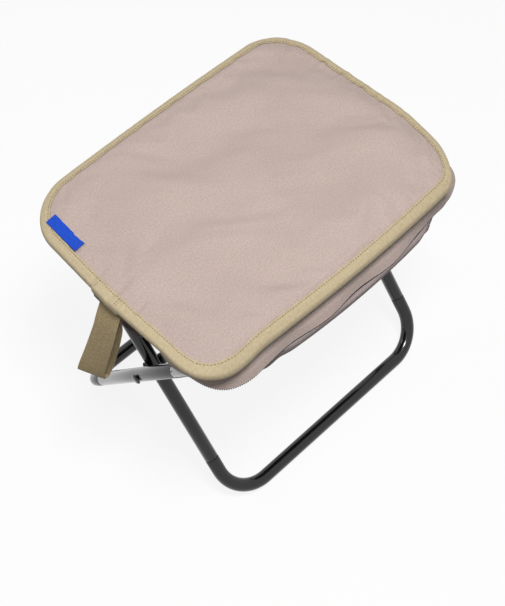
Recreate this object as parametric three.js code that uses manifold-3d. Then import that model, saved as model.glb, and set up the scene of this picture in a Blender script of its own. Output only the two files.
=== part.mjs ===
// Folding cooler stool: two crossed tube frames that pivot on rivets, a tapered insulated bag slung
// between the two top rails, and a padded lid that is the seat.
// Millimetres, +Z up. X runs along the rails and -Y is the front, the lid's opening side. Pieces are
// laid out from a point on the floor under the middle of the pivot, and the finished stool is then
// shifted so that its origin is on the floor under the middle of its extent.
import * as THREE from 'three';
import Module from 'manifold-3d';
import { mergeVertices } from 'three/addons/utils/BufferGeometryUtils.js';

const wasm = await Module();
wasm.setup();

// Running and seating clearances
const gap = 0.3;
const cutOverrun = 1;
const mergeShare = 1 / 1000;

// Tube frame
const tubeDiameter = 16;
const tubeWall = 1.2;
const spigotDiameter = 12.5;
const spigotLength = 24;
const bendRadius = 45;
const innerFrameWidth = 312;
const pivotHeight = 161;
const footReach = 122.5;
const railReach = 120;
const footLegLength = 64;
const topLegLength = 91;
const tubeSides = 12;
const bendSteps = 5;

// Pivot hardware
const washerThickness = 1;
const washerDiameter = 18;
const rivetDiameter = 6;
const rivetHeadDiameter = 12;
const rivetHeadHeight = 3;
const nutDiameter = 14;
const nutHeight = 6.5;
const nutBoreDepth = 4;
const turnedSides = 20;

// Cloth thicknesses
const sleeveThickness = 1.5;
const shellThickness = 1.6;
const coverThickness = 1;
const liningThickness = 0.8;
const linerThickness = 1.2;
const bindingThickness = 0.9;
const skirtThickness = 1.4;
const trimThickness = 1;

// Lid
const lidSideOverhang = 7.2;
const lidFrontOverhang = 22;
const lidBackOverhang = 30;
const lidCornerRadius = 58;
const edgeBulge = 4;
const padThickness = 6;
const padEdgeThickness = 2.2;
const padCreaseRoom = 1.5;
const padShoulder = 18;
const lidCrown = 3;
const edgeDrop = 5;
const sideDrop = 5;
const wrinkleHeight = 1.1;
const wrinkleLength = 105;
const frontLeftDrop = 6;
const frontRightDrop = 4;
const backRightLift = 8;
const backLeftDrop = 6;
const bindingWidth = 11;
const lidLeftRoom = 12;
const frontRightDraw = 12;
const backRightRoom = 5;

// Skirt round the lid's front and sides, with the closure's coil under its hem
const skirtInset = 7;
const skirtFrontDrop = 27;
const skirtSideDrop = 20;
const skirtFlareDepth = 1;
const skirtTuckDepth = 11;
const skirtCornerTuckDepth = 6;
const skirtFoldHeight = 2;
const skirtFoldLength = 84;
const hemClearance = 0.9;
const coilSize = 2.2;

// Bag
const bagFloorRise = 4;
const bagSideRoom = 15;
const bagEndTaper = 14;
const bagFloorHalfDepth = 66;
const bagCornerRadius = 30;
const boardThickness = 2.5;
const insulationThickness = 5;
const bagRimRise = 6;
const rimTrimHeight = 12;
const pouchCornerRadius = 40;
const pouchSwell = 11;
const pouchFrontSwell = 6;
const pouchHemRoom = 8.4;
const pouchWaistDrop = 69.75;
const cornerRimDrop = 40.5;

// Fabric hinge, label, strap and closure slider
const hingeEndRoom = 52;
const labelLength = 50;
const labelWidth = 12;
const labelThickness = 0.7;
const labelBackRoom = 61;
const strapWidth = 30;
const strapThickness = 1.6;
const strapTabHeight = 13;
const loopStart = 5;
const strapForwardOffset = 3;
const strapReach = 32;
const strapDropHeight = 77;
const strapOpening = 10;
const sliderLength = 12;
const sliderWall = 1.5;
const sliderRoom = 0.9;
const sliderEndRoom = 8;
const pullLength = 22;
const pullWidth = 6;
const pullThickness = 1.4;
const pullPinDiameter = 1.6;
const pullEyeWall = 1.2;
const endTabWidth = 14;
const endTabHeight = 26;

// Places that follow from the sizes above
const tubeRadius = tubeDiameter / 2;
const facetShare = 1 / Math.cos(Math.PI / tubeSides);
const sideGap = washerThickness + 2 * gap;
const halfWidthA = innerFrameWidth / 2;
const halfWidthB = halfWidthA + tubeDiameter + sideGap;
const frameHalfWidth = halfWidthB + tubeRadius;
const riseRatio = (pivotHeight - tubeRadius) / footReach;
const railHeight = pivotHeight + railReach * riseRatio;
const slopeLength = Math.hypot(1, riseRatio);
const footDistance = footReach * slopeLength;
const railDistance = railReach * slopeLength;
const sleeveRadius = tubeRadius + gap + sleeveThickness;
const lidHalfX = frameHalfWidth + lidSideOverhang;
const lidFront = railReach + lidFrontOverhang;
const lidBack = railReach + lidBackOverhang;
const lidMiddleY = (lidBack - lidFront) / 2;
const lidHalfY = (lidBack + lidFront) / 2;
const lidSeat = railHeight + sleeveRadius * facetShare + gap;
const layerInset = bindingThickness + gap + gap;
const bagHalfWidth = halfWidthA - tubeRadius - bagSideRoom;
const bagFloorHalfWidth = bagHalfWidth - bagEndTaper;
const pouchHalfWidth = bagHalfWidth + pouchSwell;
const hingeHalfLength = halfWidthA - hingeEndRoom;
const labelOffset = lidBack - labelBackRoom;
const strapOffset = -strapForwardOffset;
const sliderOffset = lidBack - lidCornerRadius - sliderEndRoom;

// Geometry helpers
const point = (x, y, z) => new THREE.Vector3(x, y, z);
const mix = (a, b, t) => a + (b - a) * t;
const ease = (value, low, high) => THREE.MathUtils.smoothstep(value, low, high);

// Volume enclosed by a triangle list, positive where its faces point outwards.
function signedVolume(points, faces) {
  let sum = 0;
  for (const [a, b, c] of faces) {
    sum += points[a].dot(point(0, 0, 0).crossVectors(points[b], points[c])) / 6;
  }
  return sum;
}

// A closed body from points and triangles: coincident points are merged and flat ones dropped.
function closedBody(points, faces) {
  const seen = new Map();
  const kept = [];
  const index = points.map((p) => {
    const key = [p.x, p.y, p.z].map((value) => value.toFixed(5)).join(' ');
    if (!seen.has(key)) {
      seen.set(key, kept.length);
      kept.push(p);
    }
    return seen.get(key);
  });
  const triangles = faces
    .map((face) => face.map((corner) => index[corner]))
    .filter(([a, b, c]) => a !== b && b !== c && c !== a);
  if (signedVolume(kept, triangles) < 0) {
    triangles.forEach((face) => face.reverse());
  }
  const geometry = new THREE.BufferGeometry().setFromPoints(kept);
  geometry.setIndex(triangles.flat());
  return geometry;
}

// A wall between two grids of points of the same shape, such as the outside and the inside of a
// sleeve. It is closed along its free edges, and runs round where rows or columns wrap.
// Each cell is split from its first corner, or from the next one in the columns of otherSplit.
function wallBetween(outer, inner, { wrapRows = false, wrapColumns = false, otherSplit = [] } = {}) {
  const rows = outer.length;
  const columns = outer[0].length;
  const points = [...outer.flat(), ...inner.flat()];
  const at = (side, row, column) => side * rows * columns + (row % rows) * columns + (column % columns);
  const faces = [];
  const quad = (a, b, c, d) => faces.push([a, b, c], [a, c, d]);
  const lastRow = wrapRows ? rows : rows - 1;
  const lastColumn = wrapColumns ? columns : columns - 1;
  for (let r = 0; r < lastRow; r += 1) {
    for (let c = 0; c < lastColumn; c += 1) {
      for (const side of [0, 1]) {
        const cell = [at(side, r, c), at(side, r + 1, c), at(side, r + 1, c + 1), at(side, r, c + 1)];
        const turned = otherSplit.includes(c) ? [...cell.slice(1), cell[0]] : cell;
        const [a, b, e, d] = turned;
        quad(...(side ? [a, d, e, b] : [a, b, e, d]));
      }
    }
  }
  if (!wrapRows) {
    for (let c = 0; c < lastColumn; c += 1) {
      quad(at(0, 0, c), at(0, 0, c + 1), at(1, 0, c + 1), at(1, 0, c));
      quad(at(0, rows - 1, c + 1), at(0, rows - 1, c), at(1, rows - 1, c), at(1, rows - 1, c + 1));
    }
  }
  if (!wrapColumns) {
    const end = columns - 1;
    for (let r = 0; r < lastRow; r += 1) {
      quad(at(0, r + 1, 0), at(0, r, 0), at(1, r, 0), at(1, r + 1, 0));
      quad(at(0, r, end), at(0, r + 1, end), at(1, r + 1, end), at(1, r, end));
    }
  }
  return closedBody(points, faces);
}

function toManifold(geometry) {
  const bare = geometry.clone();
  bare.deleteAttribute('normal');
  bare.deleteAttribute('uv');
  const merged = mergeVertices(bare, gap * mergeShare);
  return new wasm.Manifold(new wasm.Mesh({
    numProp: 3,
    vertProperties: Float32Array.from(merged.attributes.position.array),
    triVerts: Uint32Array.from(merged.index.array),
  }));
}

function fromManifold(solid) {
  const mesh = solid.getMesh();
  const geometry = new THREE.BufferGeometry();
  geometry.setAttribute('position', new THREE.BufferAttribute(new Float32Array(mesh.vertProperties), 3));
  geometry.setIndex(new THREE.BufferAttribute(new Uint32Array(mesh.triVerts), 1));
  return geometry;
}

// A turned body about the X axis, from a closed profile of [radius, x] pairs.
function turnedAboutX(profile) {
  const outline = profile.map(([radius, x]) => new THREE.Vector2(radius, x));
  const turned = new THREE.LatheGeometry(outline, turnedSides).rotateZ(-Math.PI / 2);
  turned.deleteAttribute('normal');
  turned.deleteAttribute('uv');
  const merged = mergeVertices(turned, gap * mergeShare);
  const at = merged.attributes.position;
  const points = Array.from({ length: at.count }, (_, i) => point(at.getX(i), at.getY(i), at.getZ(i)));
  const index = Array.from(merged.index.array);
  const faces = Array.from({ length: index.length / 3 }, (_, i) => index.slice(3 * i, 3 * i + 3));
  return closedBody(points, faces);
}

const stool = new THREE.Group();

function finish(colour, roughness, metalness) {
  return new THREE.MeshStandardMaterial({ color: colour, roughness, metalness });
}

function place(name, geometry, material) {
  const mesh = new THREE.Mesh(geometry, material);
  mesh.name = name;
  stool.add(mesh);
}

const blackPaint = () => finish('#121315', 0.25, 0.3);
const steel = () => finish('#b9bcc0', 0.3, 1);
const blackPlastic = () => finish('#17181a', 0.5, 0);
const greyCloth = () => finish('#c8bab2', 0.9, 0);
const bagCloth = () => finish('#8f8488', 0.9, 0);
const khakiTape = () => finish('#c0ac84', 0.85, 0);
const webbing = () => finish('#93805c', 0.9, 0);
const silverFoil = () => finish('#c9ccce', 0.35, 0.6);
const whiteFoam = () => finish('#e9e7e1', 0.95, 0);
const blueWeave = () => finish('#1450c8', 0.7, 0);

// Tube frame. One frame lies in a plane through the pivot: "side" is the sense in which its
// legs lean, +1 where the top rail is at the back.
const legDirection = (side) => point(0, side / slopeLength, riseRatio / slopeLength);
const pivotPoint = (x) => point(x, 0, pivotHeight);

// Stations along a bow from one leg's open end round the crossbar to the other's: each has its
// centre across X, its distance from the crossbar's axis along the legs, and its heading.
function bowStations(halfWidth, legLength) {
  const quarter = [];
  for (let i = 0; i <= bendSteps; i += 1) {
    const angle = (Math.PI / 2) * (i / bendSteps);
    quarter.push({
      x: -halfWidth + bendRadius * (1 - Math.cos(angle)),
      s: bendRadius * (1 - Math.sin(angle)),
      angle,
    });
  }
  const start = [
    { x: -halfWidth, s: legLength + spigotLength, angle: 0, end: true, spigot: true },
    { x: -halfWidth, s: legLength, angle: 0, spigot: true },
    { x: -halfWidth, s: legLength, angle: 0 },
    { x: -halfWidth, s: legLength - tubeWall, angle: 0 },
  ];
  const half = [...start, ...quarter];
  const mirrored = half.map((station) => ({ ...station, x: -station.x, angle: Math.PI - station.angle }));
  return [...half, ...mirrored.reverse()];
}

// One ring of a tube section. The section's flats are turned so that one lies level under a
// crossbar, and they stand at the tube's true radius.
function sectionRing(station, crossbar, up, radius, turn) {
  const normal = point(0, -up.z, up.y);
  const across = point(Math.cos(station.angle), 0, 0).addScaledVector(up, Math.sin(station.angle));
  const centre = crossbar.clone().addScaledVector(up, station.s).setX(station.x);
  return Array.from({ length: tubeSides }, (_, i) => {
    const angle = turn + (2 * Math.PI * (i + 1 / 2)) / tubeSides;
    return centre.clone()
      .addScaledVector(across, radius * facetShare * Math.cos(angle))
      .addScaledVector(normal, radius * facetShare * Math.sin(angle));
  });
}

function bowBody(halfWidth, crossbar, up, legLength) {
  const stations = bowStations(halfWidth, legLength);
  const turn = Math.atan2(-up.y, -up.z);
  const bore = (station) => (station.spigot ? spigotDiameter : tubeDiameter) / 2 - tubeWall;
  const skin = (station) => (station.spigot ? spigotDiameter : tubeDiameter) / 2;
  return wallBetween(
    stations.map((station) => sectionRing(station, crossbar, up, skin(station), turn)),
    stations.map((station) => sectionRing(station, crossbar, up, bore(station), turn)),
    { wrapColumns: true },
  );
}

// A cloth sleeve round a top rail's straight run and the first part of its bends.
const sleeveBendShare = 2 / 3;
function sleeveBody(halfWidth, crossbar, up) {
  const turn = Math.atan2(-up.y, -up.z);
  const stations = bowStations(halfWidth, topLegLength)
    .filter((station) => !station.spigot && station.s < bendRadius * (1 - sleeveBendShare) + gap);
  return wallBetween(
    stations.map((station) => sectionRing(station, crossbar, up, sleeveRadius, turn)),
    stations.map((station) => sectionRing(station, crossbar, up, tubeRadius + gap, turn)),
    { wrapColumns: true },
  );
}

// A straight side tube, drilled across for the pivot.
function sideTubeBody(x, up) {
  const low = -(footDistance - footLegLength - gap);
  const high = railDistance - topLegLength - gap;
  const ring = (along, radius) => Array.from({ length: tubeSides }, (_, i) => {
    const angle = (2 * Math.PI * (i + 1 / 2)) / tubeSides;
    const normal = point(0, -up.z, up.y);
    return pivotPoint(x + radius * facetShare * Math.cos(angle))
      .addScaledVector(up, along)
      .addScaledVector(normal, radius * facetShare * Math.sin(angle));
  });
  const tube = wallBetween(
    [low, high].map((along) => ring(along, tubeRadius)),
    [low, high].map((along) => ring(along, tubeRadius - tubeWall)),
    { wrapColumns: true },
  );
  const drillRadius = rivetDiameter / 2 + gap;
  const drillLength = tubeDiameter + 2 * cutOverrun;
  const drill = new THREE.CylinderGeometry(drillRadius, drillRadius, drillLength, turnedSides)
    .rotateZ(Math.PI / 2)
    .translate(x, 0, pivotHeight);
  return fromManifold(toManifold(tube).subtract(toManifold(drill)));
}

const frames = [
  { tag: 'a', halfWidth: halfWidthA, side: 1 },
  { tag: 'b', halfWidth: halfWidthB, side: -1 },
];
for (const { tag, halfWidth, side } of frames) {
  const up = legDirection(side);
  const foot = point(0, -side * footReach, tubeRadius);
  const rail = point(0, side * railReach, railHeight);
  place(`foot_bow_${tag}`, bowBody(halfWidth, foot, up, footLegLength), blackPaint());
  place(`top_bow_${tag}`, bowBody(halfWidth, rail, up.clone().negate(), topLegLength), blackPaint());
  place(`side_tube_${tag}_left`, sideTubeBody(-halfWidth, up), blackPaint());
  place(`side_tube_${tag}_right`, sideTubeBody(halfWidth, up), blackPaint());
  const sleeveName = side > 0 ? 'back_rail_sleeve' : 'front_rail_sleeve';
  place(sleeveName, sleeveBody(halfWidth, rail, up.clone().negate()), greyCloth());
}

// Pivots: a domed rivet from outside, a washer between the tubes and a cap nut inside.
const rivetHeadStart = frameHalfWidth + gap;
const nutStart = halfWidthA - tubeRadius - gap;
const rivetRadius = rivetDiameter / 2;
const rivetTip = nutStart - nutBoreDepth + gap;
const rivetHeadRadius = rivetHeadDiameter / 2;
const nutRadius = nutDiameter / 2;
const washerStart = halfWidthA + tubeRadius + gap;
const headProfileShares = [[1, 0], [1, 0.3], [0.85, 0.68], [0.5, 0.93], [0, 1]];
const nutProfileShares = [[1, 0], [1, 0.55], [0.8, 0.85], [0.45, 1], [0, 1]];
const rivetProfile = [
  [0, rivetTip],
  [rivetRadius, rivetTip],
  [rivetRadius, rivetHeadStart],
  ...headProfileShares.map(([r, h]) => [r * rivetHeadRadius, rivetHeadStart + h * rivetHeadHeight]),
];
const nutBoreRadius = rivetRadius + gap;
const nutProfile = [
  [0, nutStart - nutBoreDepth],
  [nutBoreRadius, nutStart - nutBoreDepth],
  [nutBoreRadius, nutStart],
  ...nutProfileShares.map(([r, h]) => [r * nutRadius, nutStart - h * nutHeight]),
];
const washerProfile = [
  [rivetRadius + gap, washerStart],
  [washerDiameter / 2, washerStart],
  [washerDiameter / 2, washerStart + washerThickness],
  [rivetRadius + gap, washerStart + washerThickness],
  [rivetRadius + gap, washerStart],
];
for (const [side, sense] of [['left', -1], ['right', 1]]) {
  const mirror = (profile) => profile.map(([radius, x]) => [radius, sense * x]);
  const turned = (profile) => turnedAboutX(mirror(profile)).translate(0, 0, pivotHeight);
  place(`rivet_${side}`, turned(rivetProfile), blackPaint());
  place(`pivot_washer_${side}`, turned(washerProfile), blackPlastic());
  place(`cap_nut_${side}`, turned(nutProfile), blackPlastic());
}

// Rounded plan outlines, read anticlockwise from the middle of the back edge. All outlines
// have the same stations, so that layers laid over each other match.
const longSteps = 8;
const shortSteps = 6;
const cornerSteps = 5;
function planOutline({ halfX, front, back, radius, bulge = 0 }) {
  const stations = [];
  const edge = (x0, y0, x1, y1, nx, ny, from, to, steps) => {
    for (let i = from; i < to; i += 1) {
      const t = i / steps;
      const swell = bulge * 4 * t * (1 - t);
      stations.push({ x: mix(x0, x1, t), y: mix(y0, y1, t) + ny * swell, nx, ny });
    }
  };
  const corner = (cx, cy, startAngle) => {
    for (let i = 0; i <= cornerSteps; i += 1) {
      const angle = startAngle + (Math.PI / 2) * (i / cornerSteps);
      const nx = Math.cos(angle);
      const ny = Math.sin(angle);
      stations.push({ x: cx + radius * nx, y: cy + radius * ny, nx, ny });
    }
  };
  const inX = halfX - radius;
  edge(inX, back, -inX, back, 0, 1, longSteps / 2, longSteps, longSteps);
  corner(-inX, back - radius, Math.PI / 2);
  edge(-halfX, back - radius, -halfX, radius - front, -1, 0, 1, shortSteps, shortSteps);
  corner(-inX, radius - front, Math.PI);
  edge(-inX, -front, inX, -front, 0, -1, 1, longSteps, longSteps);
  corner(inX, radius - front, 1.5 * Math.PI);
  edge(halfX, radius - front, halfX, back - radius, 1, 0, 1, shortSteps, shortSteps);
  corner(inX, back - radius, 0);
  edge(inX, back, -inX, back, 0, 1, 1, longSteps / 2, longSteps);
  return stations;
}

// The sewn lid isn't quite symmetric: its left edge stands out further towards the front, its front
// right corner is drawn in, and its back edge stands out further towards the right.
const leftBackShare = 0.9;
const drawShares = { x: [0.62, 1], y: [0.15, 0.95] };
const backSlantShares = [-0.7, 0.9];
function lidShape(station) {
  const { x, y } = station;
  const backShare = Math.max(0, y / lidBack);
  const out = lidLeftRoom * Math.max(0, -x / lidHalfX) * (1 - leftBackShare * backShare);
  const draw = frontRightDraw * ease(x / lidHalfX, ...drawShares.x) * ease(-y / lidFront, ...drawShares.y);
  const slant = backRightRoom * backShare * ease(x / lidHalfX, ...backSlantShares);
  return { ...station, x: x - out - draw, y: y + slant, draw };
}
const lidOutline = (inset) => planOutline({
  halfX: lidHalfX - inset,
  front: lidFront - inset,
  back: lidBack - inset,
  radius: lidCornerRadius - inset,
  bulge: edgeBulge,
}).map(lidShape);

// Lid heights. The underside rests on the rail sleeves, with a slight crown between them,
// edges that hang past them, and corners that lift or droop as worn cloth does.
const cornerLifts = [
  { sx: -1, sy: -1, height: -frontLeftDrop },
  { sx: 1, sy: -1, height: -frontRightDrop },
  { sx: 1, sy: 1, height: backRightLift },
  { sx: -1, sy: 1, height: -backLeftDrop },
];
const dropStartShareX = 0.68;
const dropStartShareY = 0.91;
const cornerPower = 6;
function lidUnderside(x, y) {
  const u = x / lidHalfX;
  const v = (y - lidMiddleY) / lidHalfY;
  const crown = lidCrown * Math.max(0, 1 - u * u) * Math.max(0, 1 - v * v);
  const drop = edgeDrop * ease(Math.abs(v), dropStartShareY, 1)
    + sideDrop * ease(Math.abs(u), dropStartShareX, 1);
  const lift = cornerLifts.reduce((sum, { sx, sy, height }) => sum
    + height * Math.max(0, sx * u) ** cornerPower * Math.max(0, sy * v) ** cornerPower, 0);
  return lidSeat + crown - drop + lift;
}

// Broad soft creases that run slantwise over the lid and fade out at its binding.
const creaseShares = [
  { slant: 0.55, stretch: 1, height: 1, phase: 0.4 },
  { slant: -1.1, stretch: 1.6, height: 0.55, phase: 2.1 },
  { slant: 0.1, stretch: 0.62, height: 0.4, phase: 4.0 },
];
const creaseFadeShares = { x: [0.75, 0.98], y: [0.7, 0.98] };
function creaseHeight(x, y) {
  const u = Math.abs(x) / lidHalfX;
  const v = Math.abs(y - lidMiddleY) / lidHalfY;
  const fade = (1 - ease(u, ...creaseFadeShares.x)) * (1 - ease(v, ...creaseFadeShares.y));
  const wave = creaseShares.reduce((sum, crease) => {
    const along = (x * crease.slant + y) / (wrinkleLength * crease.stretch);
    return sum + crease.height * Math.sin(2 * Math.PI * along + crease.phase);
  }, 0);
  return wrinkleHeight * fade * (wave - 1);
}

// Rows of lid stations from the middle out: shares of the inner outline, then outlines at their
// real inset. Each row also says how thick the pad is there.
const innerRowShares = [0, 0.25, 0.5, 0.75];
const padInset = bindingWidth + gap + padShoulder;
const lidRows = [
  ...innerRowShares.map((share) => ({ inset: padInset, share, pad: padThickness })),
  { inset: padInset, share: 1, pad: padThickness },
  { inset: bindingWidth + gap, share: 1, pad: mix(padEdgeThickness, padThickness, 1 / 2) },
  { inset: layerInset, share: 1, pad: padEdgeThickness },
];
function lidGrid(height) {
  return lidRows.map((row) => lidOutline(row.inset).map(({ x, y }) => {
    const px = x * row.share;
    const py = mix(lidMiddleY, y, row.share);
    return point(px, py, height(px, py, row));
  }));
}
const liningTop = (x, y) => lidUnderside(x, y) + liningThickness;
const padBottom = (x, y) => liningTop(x, y) + gap;
const padTop = (x, y, row) => padBottom(x, y) + row.pad + padCreaseRoom + creaseHeight(x, y);
const coverBottom = (x, y, row) => padTop(x, y, row) + gap;
const coverTop = (x, y, row) => coverBottom(x, y, row) + coverThickness;

const lidLayers = [
  { name: 'lid_cover', top: coverTop, bottom: coverBottom, material: greyCloth() },
  { name: 'lid_pad', top: padTop, bottom: padBottom, material: whiteFoam() },
  { name: 'lid_lining', top: liningTop, bottom: lidUnderside, material: silverFoil() },
];
for (const { name, top, bottom, material } of lidLayers) {
  place(name, wallBetween(lidGrid(top), lidGrid(bottom), { wrapColumns: true }), material);
}

// Binding folded round the lid's edge. It follows the layers' own two outermost rows.
const edgeRow = lidRows[lidRows.length - 1];
const bindRow = lidRows[lidRows.length - 2];
const edgeStations = lidOutline(edgeRow.inset);
const bindStations = lidOutline(bindRow.inset);
function bindingLevels(i) {
  const edge = edgeStations[i];
  const bind = bindStations[i];
  return {
    lowEdge: lidUnderside(edge.x, edge.y) - gap,
    lowInner: lidUnderside(bind.x, bind.y) - gap,
    topEdge: coverTop(edge.x, edge.y, edgeRow) + gap,
    topInner: coverTop(bind.x, bind.y, bindRow) + gap,
  };
}
const bindingStations = {
  rim: lidOutline(0),
  shoulder: lidOutline(bindingThickness),
  wall: lidOutline(bindingThickness + gap / 2),
  inner: lidOutline(bindingWidth),
};
const atStation = (plan, i, z) => point(plan[i].x, plan[i].y, z);
const bindingOuter = bindingStations.rim.map((_, i) => {
  const level = bindingLevels(i);
  return [
    atStation(bindingStations.inner, i, level.lowInner - bindingThickness),
    atStation(bindingStations.shoulder, i, level.lowEdge - bindingThickness),
    atStation(bindingStations.rim, i, level.lowEdge),
    atStation(bindingStations.rim, i, level.topEdge),
    atStation(bindingStations.shoulder, i, level.topEdge + bindingThickness),
    atStation(bindingStations.inner, i, level.topInner + bindingThickness),
  ];
});
const bindingInner = bindingStations.rim.map((_, i) => {
  const level = bindingLevels(i);
  return [
    atStation(bindingStations.inner, i, level.lowInner),
    atStation(bindingStations.wall, i, level.lowEdge),
    atStation(bindingStations.wall, i, level.lowEdge + gap),
    atStation(bindingStations.wall, i, level.topEdge - gap),
    atStation(bindingStations.wall, i, level.topEdge),
    atStation(bindingStations.inner, i, level.topInner),
  ];
});
const topFlap = bindingOuter[0].length - 2;
const bindingWrap = { wrapRows: true, otherSplit: [topFlap] };
place('lid_binding', wallBetween(bindingOuter, bindingInner, bindingWrap), khakiTape());

// Skirt: hangs from under the binding round the front and both sides. It is flared over the front
// rail, drawn in towards the rail's right bend, and tucked in along the sides.
const backStations = longSteps / 2 + Math.ceil(cornerSteps / 2);
const skirtRange = (list) => list.slice(backStations, list.length - backStations + 1);
const flareStartShare = 0.625;
const flareEndShare = 0.28;
const cornerTuckShares = { start: [0.36, 0.66], end: [0.8, 0.95] };
const foldSlantShares = [0.9, 1];
const skirtDrawShares = { top: 0.25, hem: 0.85 };
function skirtStation(i) {
  const rim = bindingStations.rim[i];
  const forward = 1 - ease(rim.y, -flareStartShare * railReach, -flareEndShare * railReach);
  const across = (rim.x + rim.draw) / lidHalfX;
  const cornerTuck = forward * ease(across, ...cornerTuckShares.start)
    * (1 - ease(across, ...cornerTuckShares.end));
  const level = bindingLevels(i);
  const under = (inset) => mix(level.lowEdge, level.lowInner, inset / bindingWidth)
    - bindingThickness - hemClearance;
  const slanted = (rim.x + rim.draw) * foldSlantShares[0] + rim.y * foldSlantShares[1];
  const fold = skirtFoldHeight * Math.sin((2 * Math.PI * slanted) / skirtFoldLength);
  return {
    rim,
    forward,
    inset: skirtInset - skirtDrawShares.top * rim.draw,
    top: Math.min(under(skirtInset), under(skirtInset + skirtThickness)),
    drop: mix(skirtSideDrop, skirtFrontDrop, forward),
    hemInset: mix(skirtTuckDepth, -skirtFlareDepth, forward) + fold * (forward - cornerTuck)
      + skirtCornerTuckDepth * cornerTuck - skirtDrawShares.hem * rim.draw * rim.nx,
  };
}
const skirtShares = [[0, 0], [0.3, 0.4], [0.68, 0.86], [1, 1]];
const skirtIndex = skirtRange(bindingStations.rim.map((_, i) => i));
const insetBy = ({ rim }, inset, z) => point(rim.x - rim.nx * inset, rim.y - rim.ny * inset, z);
const skirtGrid = (extra) => skirtIndex.map((i) => {
  const station = skirtStation(i);
  return skirtShares.map(([down, out]) => insetBy(
    station,
    mix(station.inset, station.hemInset, out) + extra,
    station.top - down * station.drop,
  ));
});
place('lid_skirt', wallBetween(skirtGrid(0), skirtGrid(skirtThickness)), greyCloth());

// The closure's coil under the skirt's hem.
const coilLevel = (station) => station.top - station.drop - gap;
const coilGrid = (extra) => skirtIndex.map((i) => {
  const station = skirtStation(i);
  const middle = station.hemInset + skirtThickness / 2;
  const inset = middle + extra * (coilSize / 2);
  return [0, 1].map((down) => insetBy(station, inset, coilLevel(station) - down * coilSize));
});
place('lid_zip_coil', wallBetween(coilGrid(-1), coilGrid(1)), blackPlastic());

// Bag. The insulated tub tapers straight from its floor to the rails; the outer shell follows
// it up to the waist, then swells out under the rails and up behind the skirt's hem.
const bagFloor = pivotHeight + bagFloorRise;
const boardBottom = bagFloor + shellThickness + gap;
const tubBottom = boardBottom + boardThickness + gap;
const tubTop = railHeight + bagRimRise;
const rimTrimOut = gap + trimThickness;
// The trim leans with the tub's wall, so it passes the round sleeve a little above the rail's height.
const leanShare = 1.06;
const bagHalfDepth = railReach - leanShare * (sleeveRadius * facetShare + gap) - rimTrimOut;
function tubOutline(z, inset) {
  const t = (z - tubBottom) / (railHeight - tubBottom);
  const halfX = mix(bagFloorHalfWidth, bagHalfWidth, t) - inset;
  const halfY = mix(bagFloorHalfDepth, bagHalfDepth, t) - inset;
  return planOutline({ halfX, front: halfY, back: halfY, radius: bagCornerRadius - inset });
}
const onLevel = (plan, z) => plan.map(({ x, y }) => point(x, y, z));
const poleRow = (plan, z) => plan.map(() => point(0, 0, z));
const tubShares = [0, 0.48, 1];
function tubGrid(inset, floor, top) {
  const levels = tubShares.map((share) => mix(floor, top, share));
  return [poleRow(tubOutline(floor, inset), floor), ...levels.map((z) => onLevel(tubOutline(z, inset), z))];
}
const linerInset = insulationThickness + gap;
const linerBottom = tubBottom + insulationThickness + gap;
const linerInside = linerInset + linerThickness;
place('bag_insulation', wallBetween(
  tubGrid(0, tubBottom, tubTop),
  tubGrid(insulationThickness, tubBottom + insulationThickness, tubTop),
  { wrapColumns: true },
), whiteFoam());
place('bag_liner', wallBetween(
  tubGrid(linerInset, linerBottom, tubTop),
  tubGrid(linerInside, linerBottom + linerThickness, tubTop),
  { wrapColumns: true },
), silverFoil());

const boardInset = gap;
const boardRows = (z) => [
  poleRow(tubOutline(tubBottom, boardInset), z),
  onLevel(tubOutline(boardBottom, boardInset), z),
];
place('base_board', wallBetween(
  boardRows(boardBottom + boardThickness),
  boardRows(boardBottom),
  { wrapColumns: true },
), blackPlastic());

const trimBottom = tubTop - rimTrimHeight;
const trimOutside = [
  [trimBottom, -rimTrimOut],
  [tubTop + rimTrimOut, -rimTrimOut],
  [tubTop + rimTrimOut, linerInside + rimTrimOut],
  [trimBottom, linerInside + rimTrimOut],
];
const trimInside = [
  [trimBottom, -gap],
  [tubTop + gap, -gap],
  [tubTop + gap, linerInside + gap],
  [trimBottom, linerInside + gap],
];
const trimGrid = (chain) => {
  const plans = chain.map(([z, inset]) => onLevel(tubOutline(z, inset), z));
  return plans[0].map((_, i) => plans.map((plan) => plan[i]));
};
place('bag_rim_binding', wallBetween(
  trimGrid(trimOutside),
  trimGrid(trimInside),
  { wrapRows: true },
), khakiTape());

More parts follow.
